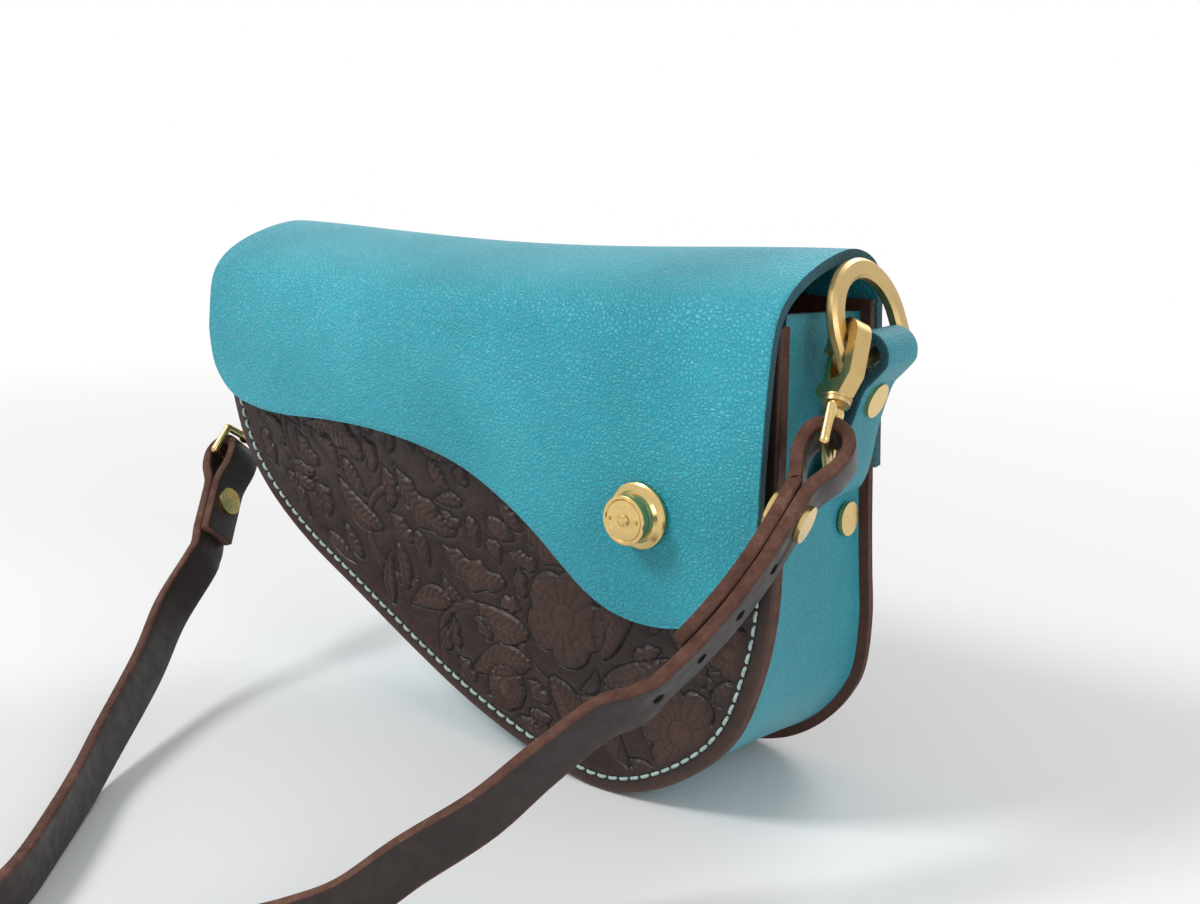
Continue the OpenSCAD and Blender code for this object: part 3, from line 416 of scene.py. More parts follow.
def thread_finish(name):
    m, t, b = new_material(name)
    twist = noise(t, coords(t), 2600.0, 2.0)
    t.links.new(ramp(t, twist, [(0.3, (.20, .31, .29)), (0.6, (.46, .60, .56))]),
                b.inputs["Base Color"])
    t.links.new(bump(t, twist, 0.00015, 0.8), b.inputs["Normal"])
    b.inputs["Roughness"].default_value = 0.55
    return m


hole_painted_shade, thread = hole_shade_finish("punched_hole_painted_shade"), thread_finish("mint_thread")

# %% Finish the hardware
LEATHER_NODES = ("front_panel", "back_panel", "gusset", "flap", "flap_back", "right_tab", "left_tab",
                 "strap")
BRASS_NODES = [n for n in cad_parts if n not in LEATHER_NODES]
EDGE_ROUND, SHARP_ANGLE = 0.00018, math.radians(32)
for name in BRASS_NODES:
    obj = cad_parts[name]
    finish = cast_brass if ("dee" in name or "hook" in name) else brass
    for s in obj.material_slots:
        s.material = finish
    edge = obj.modifiers.new("soft_edges", "BEVEL")
    edge.width, edge.segments, edge.limit_method = EDGE_ROUND, 2, "ANGLE"
    edge.angle_limit = SHARP_ANGLE
print(len(BRASS_NODES), "hardware nodes in brass")

# %% [markdown]
# The tooled front. A carver cuts the outlines with a knife, presses the ground down beside
# each cut, and leaves the flowers and leaves standing. Here every flower and leaf is a closed
# outline; one height field takes the knife cut at its edge, the bevel that falls away
# outside it, and the veins and half-moon stamps inside it. The layout is a plain western
# floral of its own.


# %% Carved shapes
def petal_ring(cx, cz, radius, petals, turn, depth=0.22):
    """A flower's outline: a circle drawn in between its petals."""
    a = np.linspace(0, 2 * math.pi, 72, endpoint=False)
    r = radius * (1 - depth + depth * np.abs(np.cos(petals * a / 2 + turn)) ** 0.6)
    return np.stack([cx + r * np.cos(a), cz + r * np.sin(a)], 1)


def leaf(x0, z0, x1, z1, width, bow=0.0, waves=0):
    """A leaf from base to tip: its outline and its midrib."""
    s = np.linspace(0, 1, 26)
    p, q = np.array([x0, z0]), np.array([x1, z1])
    v = q - p
    side = np.array([-v[1], v[0]]) / np.hypot(*v)
    mid = p + s[:, None] * v + (bow * np.sin(math.pi * s))[:, None] * side
    w = width * np.sin(math.pi * np.clip(s, .02, .98) ** 0.8) ** 0.8 / 2
    if waves:
        w = w * (1 + 0.22 * np.sin(2 * math.pi * waves * s))
    return np.vstack([mid + w[:, None] * side, (mid - w[:, None] * side)[::-1]]), mid


def scroll(cx, cz, r0, r1, a0, a1):
    """A curled stem, from radius r0 at angle a0 to radius r1 at angle a1."""
    a = np.radians(np.linspace(a0, a1, 50))
    r = np.linspace(r0, r1, 50)
    return np.stack([cx + r * np.cos(a), cz + r * np.sin(a)], 1)


SHAPES = [petal_ring(-17, 49, 15, 5, .3), petal_ring(24, 25, 14, 6, .0),
          petal_ring(-40, 22, 7.5, 9, .2, .08), petal_ring(39, 52, 8, 5, .5)]
RIBS = []
for args in ((-4, 40, 10, 62, 11, 3), (-3, 33, 19, 45, 9, -2), (-31, 40, -52, 46, 10, 2),
             (-30, 32, -54, 24, 10, -2), (-22, 30, -12, 8, 10, 3), (-6, 28, 6, 10, 8, -2),
             (33, 38, 46, 40, 7, 1), (12, 36, 4, 22, 7, 1), (38, 16, 46, 34, 8, -2, 3),
             (-12, 66, -34, 78, 9, 3, 3), (0, 64, 22, 74, 8, -3, 3), (-40, 54, -66, 62, 9, 3, 3),
             (-62, 44, -80, 40, 8, -2), (-60, 66, -86, 84, 9, 4, 3), (-92, 62, -112, 76, 8, 3),
             (-100, 84, -128, 92, 9, -4, 3), (-134, 100, -156, 116, 10, 4, 3), (30, 68, 44, 88, 8, 2),
             (6, 12, 22, 6, 5, 1)):
    edge_line, rib = leaf(*args)
    SHAPES.append(edge_line)
    RIBS.append(rib)
STEMS = [scroll(-17, 49, 20, 27, 200, 330), scroll(-52, 34, 9, 19, 40, 300),
         scroll(24, 25, 18, 20, 20, 150), scroll(-84, 66, 8, 20, 60, 290),
         scroll(-124, 92, 7, 18, 30, 260), scroll(30, 60, 7, 15, 100, 330)]
HEARTS = [(-17, 49, 4.2), (24, 25, 4.0), (39, 52, 2.6), (-40, 22, 2.4)]


def add_fillers(count, tries):
    """Fills the open ground with small leaves that lean with the main stem's flow."""
    rng = random.Random(7)
    line = panel_line[panel_line[:, 1] < 132]
    clear, reach = 1.5, 16
    placed = 0
    for _ in range(tries):
        x, z = rng.uniform(-150, 46), rng.uniform(8, 118)
        flow = 140 if x < -20 else 60
        a = math.radians(rng.uniform(-50, 50) + flow + (180 if rng.random() < .4 else 0))
        length = rng.uniform(8, 13) if x > -70 else rng.uniform(12, 18)
        tip = (x + length * math.cos(a), z + length * math.sin(a))
        spine = np.linspace((x, z), tip, 5)
        if not inside(spine, panel_line).all() or distance(spine, line)[0].min() < STITCH_IN + 3:
            continue
        middle = spine.mean(0)
        close = [shape for shape in SHAPES if np.all(shape.min(0) - reach < middle)
                 and np.all(shape.max(0) + reach > middle)]
        if any(distance(spine, shape, True)[0].min() < clear or inside(spine, shape).any()
               for shape in close):
            continue
        edge_line, rib = leaf(x, z, *tip, rng.uniform(4.0, 6.0), rng.uniform(-2, 2), rng.choice((0, 0, 2)))
        SHAPES.append(edge_line)
        RIBS.append(rib)
        placed += 1
        if placed == count:
            break
    print(placed, "small leaves fill the ground")


add_fillers(130, 2600)


# Depths and widths of the cuts in millimetres: the knife's cut, the bevel outside it, the
# rise of a leaf's middle, the matting, the ribs with their veins, and the flowers' hearts
CUT_DEEP, CUT_W, BEVEL_DEEP, BEVEL_W = 0.42, 0.38, 0.62, 2.2
DOME_HIGH, DOME_W, GROUND_MAT, LEAF_MAT = 0.42, 4.5, 0.22, 0.03
RIB_DEEP, VEIN_STEP, STEM_DEEP = 0.34, 2.6, 0.40
HEART_RIM, HEART_SINK, RAY_DEEP, RING_DEEP = 0.36, 0.25, 0.26, 0.18


def carving(points):
    """Height of the tooled surface in millimetres at 2-D points, and its tone."""
    near = np.full(len(points), 1e9)
    within = np.zeros(len(points), bool)
    dome = np.zeros(len(points))
    for shape in SHAPES:
        lo, hi = shape.min(0) - 8, shape.max(0) + 8
        part = np.all((points > lo) & (points < hi), 1)
        d, _ = distance(points[part], shape, True)
        i = inside(points[part], shape)
        near[part] = np.minimum(near[part], d)
        within[part] |= i
        dome[part] = np.maximum(dome[part], np.where(i, np.clip(d / DOME_W, 0, 1), 0))
    ground = ~within
    height = np.where(ground, -BEVEL_DEEP * np.exp(-(near / BEVEL_W) ** 1.3),
                      DOME_HIGH * dome * (2 - dome))
    height -= CUT_DEEP * np.exp(-(near / CUT_W) ** 2)
    matting = np.random.default_rng(5).random(len(points)) * np.clip(near / 2 - 0.4, 0, 1)
    height -= np.where(ground, GROUND_MAT * matting, LEAF_MAT * matting)
    for rib in RIBS:
        part = np.all((points > rib.min(0) - 6) & (points < rib.max(0) + 6), 1) & within
        d, place = distance(points[part], rib)
        veins = 0.5 + 0.5 * np.cos(2 * math.pi * (place + 0.8 * d) / VEIN_STEP)
        rib_cut, beside = np.exp(-(d / CUT_W) ** 2), np.exp(-((d - 1.8) / 1.5) ** 2)
        height[part] -= RIB_DEEP * rib_cut + RIB_DEEP * veins ** 2 * beside
    for stem in STEMS:
        part = np.all((points > stem.min(0) - 5) & (points < stem.max(0) + 5), 1) & ground
        d, _ = distance(points[part], stem)
        sides, middle = np.exp(-((d - 1.6) / 0.34) ** 2), np.exp(-(d / 1.2) ** 2)
        height[part] -= STEM_DEEP * sides - STEM_DEEP * middle
    for (cx, cz, r), petals in zip(HEARTS, (5, 6, 5, 9)):
        d = np.hypot(points[:, 0] - cx, points[:, 1] - cz)
        a = np.arctan2(points[:, 1] - cz, points[:, 0] - cx)
        rim, middle = np.exp(-((d - r) / 0.35) ** 2), np.exp(-(d / (0.6 * r)) ** 2)
        height -= HEART_RIM * rim - HEART_SINK * middle
        rays = np.abs(np.sin(3 * petals * a / 2 + 0.4)) ** 6 * ((d > r * 1.1) & (d < r * 3.2))
        rings = np.exp(-(((d - 2.2 * r) % (0.55 * r)) / 0.4) ** 2) * ((d > r * 1.3) & (d < r * 3.4))
        height -= (RAY_DEEP * rays + RING_DEEP * rings) * within
    worn = 0.50 + 0.48 * height + 0.02 * dome
    return height, worn


# %% [markdown]
# A panel is a fine grid stretched row by row between the outline's left and right sides. Its
# rim is rounded over like a burnished edge, a shallow groove is pressed for the thread, and
# the carving is added on the front.


# %% Panels
RIM_R, SEAM_W, SEAM_DEEP = 1.3, 0.75, 0.30


def panel(stands_for, curve, top, thick, rows, cols, place, materials, body, carve=False):
    s = np.linspace(0, 1, rows) ** 1.35
    heights = 0.12 + (top - 0.12) * s
    u = np.linspace(0, 1, cols)
    u = 0.7 * u + 0.3 * (0.5 - 0.5 * np.cos(math.pi * u))
    flat = np.empty((rows, cols, 2))
    for j, z in enumerate(heights):
        left, right = span(curve, z)
        flat[j, :, 0], flat[j, :, 1] = left + (right - left) * u, z
    xz = flat.reshape(-1, 2)
    ring = np.vstack([curve[curve[:, 1] < top], [[x, top] for x in span(curve, top - .01)]])
    d, _ = distance(xz, ring, True)
    fall = RIM_R - np.sqrt(np.clip(RIM_R ** 2 - (RIM_R - np.clip(d, 0, RIM_R)) ** 2, 0, None))
    seam, place_on = distance(xz, seam_line(curve, top))
    pull = 0.75 + 0.25 * np.cos(2 * math.pi * place_on / STITCH_STEP)
    groove = SEAM_DEEP * np.exp(-(seam / SEAM_W) ** 2) * pull
    out = -fall - groove
    tone = 0.5 - 0.25 * np.exp(-(seam / 1.2) ** 2) + 0.30 * np.exp(-(d / 1.6) ** 2)
    if carve:
        height, worn = carving(xz)
        fade = np.clip((d - STITCH_IN - 1.0) / 2.5, 0, 1)
        out += (height - 0.1) * fade
        tone = tone * (1 - fade) + worn * fade
    front = place(xz[:, 0], out, xz[:, 1])
    left_i, right_i = np.arange(rows) * cols, np.arange(rows) * cols + cols - 1
    back_l, back_r = (place(xz[i, 0], np.full(rows, -thick), xz[i, 1]) for i in (left_i, right_i))
    points = np.vstack([front, back_l, back_r])
    n, m = rows * cols, rows * cols + rows
    faces = grid_faces(rows, cols).tolist()
    which = [0] * len(faces)
    for j in range(rows - 1):
        faces += [[n + j, n + j + 1, m + j + 1, m + j],
                  [left_i[j], left_i[j + 1], n + j + 1, n + j],
                  [right_i[j + 1], right_i[j], m + j, m + j + 1]]
        which += [0, 1, 1]
    faces.append(list(range(n - cols, n)) + [m + rows - 1, n + rows - 1])
    faces.append([n, m] + list(range(cols - 1, -1, -1)))
    which += [1, 1]
    tones = np.concatenate([tone, np.full(2 * rows, 0.55)])
    flat_faces = range((rows - 1) * (cols - 1), len(faces))
    piece(stands_for + "_leather", points, faces, materials, body, (stands_for,), which,
          flat_faces, tones)


def seam_line(curve, top):
    """The thread's path, inside the outline by the stitching distance."""
    t = headings(curve)
    line = curve + STITCH_IN * np.stack([t[:, 1], -t[:, 0]], 1)
    return line[line[:, 1] < top - 3]


def on_front(x, out, z):
    return np.stack([x, PANEL_FRONT_Y - out, z], 1)


def on_back(x, out, z):
    """The back panel leans forward: out is measured along its own outward face."""
    y = BACK_T + out
    return np.stack([x, BACK_IN_Y + y * math.cos(BACK_LEAN) - z * math.sin(BACK_LEAN),
                     y * math.sin(BACK_LEAN) + z * math.cos(BACK_LEAN)], 1)


FINE = 1.0
panel("front_panel", panel_line, FRONT_TOP, FRONT_T, int(420 * FINE), int(560 * FINE),
      on_front, [tooled, raw_brown], "bag", True)
panel("back_panel", back_line, BACK_TOP, BACK_T, int(150 * FINE), int(150 * FINE),
      on_back, [back_brown, raw_brown], "bag")

# %% [markdown]
# Saddle stitching: each stitch is a short fat length of waxed thread that dips into its two
# holes. They follow the panel's outline, so the line never wanders, and each one stands a
# little higher or lower than the next, as hand sewing does.


# %% Stitches
def lump(path, radii, sides=8):
    """A closed tube along a path with its own radius at each point."""
    path, radii = np.asarray(path, float), np.asarray(radii, float)
    t = headings(path)
    up = np.array([0.0, 1.0, 0.0])
    a = np.cross(t, up)
    a /= np.linalg.norm(a, axis=1)[:, None]
    b = np.cross(a, t)
    w = np.linspace(0, 2 * math.pi, sides, endpoint=False)
    ring = (a[:, None] * np.cos(w)[None, :, None] + b[:, None] * np.sin(w)[None, :, None])
    points = (path[:, None] + ring * radii[:, None, None]).reshape(-1, 3)
    faces = []
    for j in range(len(path) - 1):
        for k in range(sides):
            p, q = j * sides + k, j * sides + (k + 1) % sides
            faces.append([p, q, q + sides, p + sides])
    last = (len(path) - 1) * sides
    faces += [list(range(sides - 1, -1, -1)), list(range(last, last + sides))]
    return points, faces


def stitches(name, curve, top, place, body, highest):
    seam = seam_line(curve, top)
    run = lengths(seam)
    points, faces = [], []
    count = 0
    for start in np.arange(1.0, run[-1] - STITCH_STEP, STITCH_STEP):
        s = start + np.linspace(0.35, STITCH_STEP - 0.55, 9)
        x, z = np.interp(s, run, seam[:, 0]), np.interp(s, run, seam[:, 1])
        if z[4] >= highest:
            continue
        u = np.linspace(-1, 1, 9)
        rise = 0.34 - 0.95 * np.abs(u) ** 4 + random.uniform(-0.04, 0.04)
        radii = 0.50 * (1 - 0.55 * np.abs(u) ** 6)
        p, f = lump(place(x, rise - 0.1, z), radii)
        points.append(p)
        faces += [[count + i for i in face] for face in f]
        count += len(p)
    piece(name, np.vstack(points), faces, [thread], body)


random.seed(11)
stitches("front_stitches", panel_line, FRONT_TOP, on_front, "bag", 134)
stitches("back_stitches", back_line, BACK_TOP, on_back, "bag", 90)

# %% [markdown]
# The gusset is one band of leather lofted between the two panels. It is set in from their
# edges, sinks a little between its seams, and is pressed in where each tab comes through.

# %% Gusset
GUSSET_ROWS, ACROSS = 23 * 8, 25
GUSSET_TOP, GUSSET_FALL, GUSSET_SINK = 140.7, 3.0, 0.9
GUSSET_RIGHT_X, LIFT_FROM = BODY_RIGHT - EDGE_PROUD, 110
SLIT_HEIGHTS, SLIT_ENDS, SLIT_DEEP = {1: 90, -1: 79}, (-7.2, 20.8), 1.3
FRONT_IN = [.35, 1, 1, 1, .8, .4, .12, .12, .12, .12, .3, .6] + [1] * 14


def gusset_skin(depth):
    """Points of one face of the band, as rows round the bag by columns from front to back."""
    tf, tb = headings(panel_line), headings(back_line)
    inset = crom([(v, 0) for v in FRONT_IN], 8)[:, 0] * EDGE_PROUD
    into_f, into_b = np.stack([tf[:, 1], -tf[:, 0]], 1), np.stack([tb[:, 1], -tb[:, 0]], 1)
    f = panel_line + into_f * (inset[:, None] + depth)
    b = back_line + into_b * (EDGE_PROUD + depth)
    v = np.linspace(0, 1, ACROSS)
    f, b, into = f[:GUSSET_ROWS + 1], b[:GUSSET_ROWS + 1], into_f[:GUSSET_ROWS + 1]
    flat = f[:, None] * (1 - v[None, :, None]) + b[:, None] * v[None, :, None]
    top = GUSSET_TOP - GUSSET_FALL * v
    head = panel_line[0, 1]
    z = flat[:, :, 1]
    lifted = LIFT_FROM + (z - LIFT_FROM) * (top[None, :] - LIFT_FROM) / (head - LIFT_FROM)
    right = (flat[:, :, 0] > 0) & (z > LIFT_FROM)
    flat[:, :, 1] = np.where(right, lifted, z)
    sink = GUSSET_SINK * np.sin(math.pi * v) ** 0.8
    lo, hi = SLIT_ENDS
    y = FRONT_IN_Y + v * BODY_D
    beyond = np.clip((np.abs(y - (lo + hi) / 2) - (hi - lo) / 2) / 1.5, 0, 1)
    slit = np.zeros(flat.shape[:2])
    for side, h in SLIT_HEIGHTS.items():
        here = (flat[:, :, 0] > 0) == (side > 0)
        press = SLIT_DEEP * np.exp(-((flat[:, :, 1] - h) / 2.0) ** 2) * (1 - beyond)[None, :]
        slit += np.where(here, press, 0)
    flat += into[:, None] * (sink[None, :] + slit)[:, :, None]
    y0 = np.full(flat.shape[:2], FRONT_IN_Y)
    y1 = BACK_IN_Y - flat[:, :, 1] * math.tan(BACK_LEAN)
    return np.dstack([flat[:, :, 0], y0 * (1 - v) + y1 * v, flat[:, :, 1]])


def shell(outer, inner):
    """Two grids joined round their rim: points, faces and which faces are the rim."""
    rows, cols = outer.shape[:2]
    n = rows * cols
    points = np.vstack([outer.reshape(-1, 3), inner.reshape(-1, 3)])
    faces = grid_faces(rows, cols).tolist() + grid_faces(rows, cols, n, True).tolist()
    rim = ([j * cols for j in range(rows)] + [(rows - 1) * cols + k for k in range(1, cols)]
           + [j * cols + cols - 1 for j in range(rows - 2, -1, -1)] + list(range(cols - 2, 0, -1)))
    which = [0] * len(faces)
    for p, q in zip(rim, rim[1:] + rim[:1]):
        faces.append([p, q, q + n, p + n][::-1])
        which.append(1)
    return points, faces, which


outer, inner = gusset_skin(0.0), gusset_skin(GUSSET_T)
points, faces, which = shell(outer, inner)
piece("gusset_leather", points, faces, [blue_side_painted_shade, blue_edge], "bag", ("gusset",),
      which, [i for i, w in enumerate(which) if w])

# %% [markdown]
# The flap is one soft sheet: sewn low on the back, rolled over the top and hanging down the
# front. Every column of its grid runs down the side profile and stops at the flap's lower
# outline, so its edge is exact. The roll sags a little in the middle, as unstiffened
# leather does.

# %% Flap
ROLL = [(1, 0), (1, .18), (.955, .47), (.82, .75), (.58, .93), (.27, 1), (-.1, .92), (-.45, .71),
        (-.72, .41), (-.875, 0), (-.945, -.7), (-.985, -1.5), (-1, -2.3)]
FLAP_T, FLAP_SEWN, FLAP_GAP = 3.0, 44.0, 5.0
FLAP_FRONT_Y = PANEL_FRONT_Y - FLAP_GAP - FLAP_T
FLAP_SAG, BACK_ROWS, EDGE_TURN = 3.2, 46, 0.6
HINGE_Y = BACK_IN_Y + (BACK_T + FLAP_T) / math.cos(BACK_LEAN) - HINGE_Z * math.tan(BACK_LEAN) + 0.15
ROLL_H = FLAP_TOP - HINGE_Z
roll = crom([(a * HINGE_Y if a > 0 else -a * FLAP_FRONT_Y, HINGE_Z + b * ROLL_H) for a, b in ROLL], 8)
down = [(HINGE_Y + k * math.tan(BACK_LEAN) + 0.05, HINGE_Z - k) for k in np.linspace(FLAP_SEWN, 2, 14)]
front_run = [(FLAP_FRONT_Y, z) for z in np.linspace(roll[-1, 1] - 1, 50, 80)]
profile = np.array(down + roll.tolist() + front_run)
flap_line = crom([(BODY_RIGHT - a * FLAP_W, FLAP_LOW + b * (FLAP_TOP - FLAP_LOW)) for a, b in FLAP], 8)


def flap_low(x):
    """Height of the flap's lower edge at x."""
    p, q = flap_line[:-1], flap_line[1:]
    hit = (p[:, 0] - x) * (q[:, 0] - x) <= 0
    k = np.where(hit)[0]
    if not len(k):
        return flap_line[0, 1] if x > 0 else flap_line[-1, 1]
    w = (x - p[k, 0]) / np.where(q[k, 0] == p[k, 0], 1, q[k, 0] - p[k, 0])
    return (p[k, 1] + w * (q[k, 1] - p[k, 1])).min()


def flap_skin(depth, cols, front_rows):
    """One face of the flap, as rows down the profile by columns from right to left."""
    t = headings(profile)
    line = profile + depth * np.stack([-t[:, 1], t[:, 0]], 1)
    run = lengths(profile)
    apex = int(np.argmax(profile[:, 1]))
    front = np.arange(len(profile)) >= apex
    u = np.linspace(0, math.pi, cols)
    xs = BODY_RIGHT - 0.02 - (FLAP_W - 0.04) * (0.5 - 0.5 * np.cos(u)) ** 0.96
    back_s = np.linspace(0, run[apex], BACK_ROWS, endpoint=False)
    grid = np.empty((BACK_ROWS + front_rows, cols, 3))
    for j, x in enumerate(xs):
        low = flap_low(x)
        end = np.interp(-low, -profile[front, 1], run[front])
        s = np.concatenate([back_s, run[apex] + (end - run[apex]) * np.linspace(0, 1, front_rows)])
        y, z = np.interp(s, run, line[:, 0]), np.interp(s, run, line[:, 1])
        share = (BODY_RIGHT - x) / FLAP_W
        over = np.clip((z - HINGE_Z + 4) / (ROLL_H + 4), 0, 1)
        sag = FLAP_SAG * math.sin(math.pi * min(max(share, 0), 1)) ** 1.5
        z = z - sag * over
        front_part = np.clip((HINGE_Y - 14 - y) / 40, 0, 1)
        y = y + front_part * 0.5 * math.sin(x / 19.0) * np.clip((z - low) / 20, 0, 1)
        grid[:, j] = np.stack([np.full(len(s), x), y, z], 1)
    if depth == 0:
        rim = np.zeros(grid.shape[:2])
        rim[-1], rim[-2], rim[-3] = 0.9, 0.3, 0.05
        rim[:, 0], rim[:, -1], rim[:, 1], rim[:, -2] = 0.9, 0.9, 0.3, 0.3
        rim[:BACK_ROWS + 6] = 0
        grid[:, :, 1] += EDGE_TURN * rim
    return grid


cols, front_rows = int(240 * FINE), int(130 * FINE)
points, faces, which = shell(flap_skin(0.0, cols, front_rows), flap_skin(FLAP_T, cols, front_rows))
flap_sheet = piece("flap_leather", points, faces, [blue, blue_edge], None,
                   ("flap", "flap_back"), which, [i for i, w in enumerate(which) if w])
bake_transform(flap_sheet)

# %% [markdown]
# A strap or tab is a ribbon: a rounded flat section carried along a path. Each point of the
# path has the direction of the ribbon's width there and its reach to both sides.


# %% Ribbons
def ribbon(path, width_dir, low, high, thick, corner):
    """Rounded flat section along a path: points, faces, and 1 for the faces of its edges."""
    path = np.asarray(path, float)
    n = len(path)
    t = headings(path)
    w = width_dir - t * np.sum(width_dir * t, 1)[:, None]
    w /= np.linalg.norm(w, axis=1)[:, None]
    up = np.cross(t, w)
    h = thick / 2
    steps = [0.0, 0.25, 0.5, 0.75, 1.0]
    round_off = [(math.sin(math.radians(a)), 1 - math.cos(math.radians(a))) for a in (30, 60, 90)]
    section = [(k, 0, h, 0) for k in steps]
    section += [(1, out, h, drop) for out, drop in round_off]
    section += [(1, out, -h, drop) for out, drop in round_off[::-1]]
    section += [(k, 0, -h, 0) for k in steps[::-1]]
    section += [(0, -out, -h, drop) for out, drop in round_off]
    section += [(0, -out, h, drop) for out, drop in round_off[::-1]]
    rings = []
    low, high = np.broadcast_to(low, n) + corner, np.broadcast_to(high, n) - corner
    for k, out, level, drop in section:
        reach = low + (high - low) * k + out * corner
        rise = level - math.copysign(drop * corner, level)
        rings.append(path + w * reach[:, None] + up * rise)
    points = np.stack(rings, 1).reshape(-1, 3)
    m = len(section)
    # The strips of faces that go over the two rounded edges of the section
    edge = [4 <= k <= 9 or 15 <= k <= 20 for k in range(m)]
    faces, which = [], []
    for j in range(n - 1):
        for k in range(m):
            p, q = j * m + k, j * m + (k + 1) % m
            faces.append([p, p + m, q + m, q])
            which.append(1 if edge[k] else 0)
    faces += [list(range(m)), list(range((n - 1) * m, n * m))[::-1]]
    which += [1, 1]
    return points, faces, which


# %% [markdown]
# Side tabs. Each comes out of its slit, runs up, turns round the bar of its dee and comes
# back down inside, under one rivet. Its wide foot lies flat inside the gusset.

# %% Side tabs
TAB_T, TAB_LEN, TAB_W, FOOT_W, TAB_Y, FOOT_Y = 2.5, 41.0, 17.5, 28.0, 8.2, 6.8
TAB_BORE_D, FOOT_GAP = 7.4, 0.15
RING_MID = TAB_BORE_D / 2 + TAB_T / 2
RIGHT_TAB, LEFT_TAB = (1, SLIT_HEIGHTS[1], 17.5, 15.0), (-1, SLIT_HEIGHTS[-1], 33.0, 12.0)
left_wall = np.array([p for p in gusset_skin(0.0)[:, 0] if p[0] < -100 and p[2] > 30])


def wall_x(side, z):
    """Outer face of the gusset at height z, on the right or the left."""
    order = np.argsort(left_wall[:, 2])
    return GUSSET_RIGHT_X if side > 0 else np.interp(z, left_wall[order, 2], left_wall[order, 0])


def tab(node_name, side, height, lean, foot_len):
    a = math.radians(lean)
    base = np.array([wall_x(side, height) - (0 if side > 0 else 0.6), TAB_Y, height])
    out = np.array([side * math.cos(a), 0, -math.sin(a)])
    up = np.array([side * math.sin(a), 0, math.cos(a)])
    half = TAB_T / 2
    loop = [(RING_MID * math.cos(math.radians(g)), TAB_LEN + RING_MID * math.sin(math.radians(g)))
            for g in range(-8, 189, 14)]
    strip = ([(half, z) for z in (3, 8, 14, 20, 26)] + [(half + .05, TAB_LEN - 10.5),
             (half + .5, TAB_LEN - 7.6), (3.2, TAB_LEN - 4.6)] + loop
             + [(-3.2, TAB_LEN - 4.6), (-half - .5, TAB_LEN - 7.6), (-half - .05, TAB_LEN - 10.5),
                (-half, 26), (-half, TAB_LEN * 0.49)])
    strip = [base + x * out + z * up for x, z in strip]
    foot_z = [height - foot_len + k for k in (0, 4, 8, foot_len - 3)]
    foot_in = side * (GUSSET_T + FOOT_GAP + half)
    foot = [np.array([wall_x(side, z) - foot_in, TAB_Y, z]) for z in foot_z]
    path = crom(foot + [base + 0.25 * out - 0.4 * up] + strip, 5)
    heights = (path - base) @ up
    outer_half = np.arange(len(path)) < 5 * (len(foot) + 12)
    lo, hi = FOOT_Y - FOOT_W / 2 - TAB_Y, FOOT_Y + FOOT_W / 2 - TAB_Y
    high = np.interp(heights, [0, 8.2, 15.6, 21.3], [hi, hi, .58 * TAB_W, TAB_W / 2])
    low = np.interp(heights, [0, 4.1, 10.2, 17.2, 23], [lo, lo, -.8 * TAB_W, -.56 * TAB_W, -TAB_W / 2])
    high, low = (np.where(outer_half, v, math.copysign(TAB_W / 2, v[-1])) for v in (high, low))
    soft = np.ones(7) / 7
    high = np.convolve(np.pad(high, 3, "edge"), soft, "valid")
    low = np.convolve(np.pad(low, 3, "edge"), soft, "valid")
    width = np.tile([0.0, 1.0, 0.0], (len(path), 1))
    points, faces, which = ribbon(path, width, low, high, TAB_T, 0.7)
    piece(node_name + "_leather", points, faces, [blue_side_painted_shade, blue_edge], "bag",
          (node_name,), which)


tab("right_tab", *RIGHT_TAB)
tab("left_tab", *LEFT_TAB)

# %% [markdown]
# The strap follows the same route as its CAD solid. Each end passes through the snap's eye,
# turns back on itself and is held by a screw; the middle stretch runs down to the ground in
# front of the bag and lies there on its edge. Index 0 is the right end and 1 the left.

# %% Strap sizes and frames
STRAP_W, STRAP_T, LOOP_R, LAYER = 13.0, 3.4, 3.8, 0.3
TAILS = (59.0, 32.0)
HOOK_FWD, HOOK_OUT, EYE_TURN = (36, 42), (9, 0), (19.5, 0)
LEAVE, LONG_SIDE, LOOP_TURN, RUN_OUT = (18, -25), (1, -1), (52, 65), (72, 40)
EYE_DROP, LOOP_BACK, BEND_FROM, BEND_R = 30.0, 0.3, 23.5, (135.0, 0)
LOOP_MID_R, LAYER_OFF = LOOP_R + STRAP_T / 2, (STRAP_T + LAYER) / 2


def turn(axis, degrees, v):
    return np.array(Matrix.Rotation(math.radians(degrees), 3, axis) @ Vector(v))


def eye_dir(s, v):
    """A direction of snap s's eye in the bag's frame."""
    return turn("X", -HOOK_FWD[s], turn("Y", -HOOK_OUT[s], turn("Z", EYE_TURN[s], v)))


def tab_ring(side, height, lean):
    """Centre of a tab's loop."""
    a = math.radians(lean)
    return np.array([wall_x(side, height) + side * TAB_LEN * math.sin(a), TAB_Y,
                     height + TAB_LEN * math.cos(a)])


DEE_IN_W, DEE_WIRE_W, DEE_IN_H, DEE_BAR_D = 25.4, 5.2, 17.9, 4.0
DEE_FORWARD, DEE_COCK, DEE_LEAN, LEFT_BOW = (2.8, 3.6), 7, 16, math.radians(70)
HOOK_LIFT, HOOK_ON_LEG = (4.2, 1.9), 2.6
DEE_MID, DEE_LEG = (DEE_IN_W + DEE_WIRE_W) / 2, DEE_IN_H - DEE_IN_W / 2 + DEE_BAR_D / 2
right_bar = tab_ring(*RIGHT_TAB[:3]) - np.array([0, DEE_FORWARD[0],
                                             DEE_FORWARD[0] * math.sin(math.radians(DEE_COCK))])
left_bar = tab_ring(*LEFT_TAB[:3]) - np.array([0, DEE_FORWARD[1], 0])
leg = right_bar + turn("X", DEE_COCK, turn("Y", -DEE_LEAN, (0, -DEE_MID, HOOK_ON_LEG)))
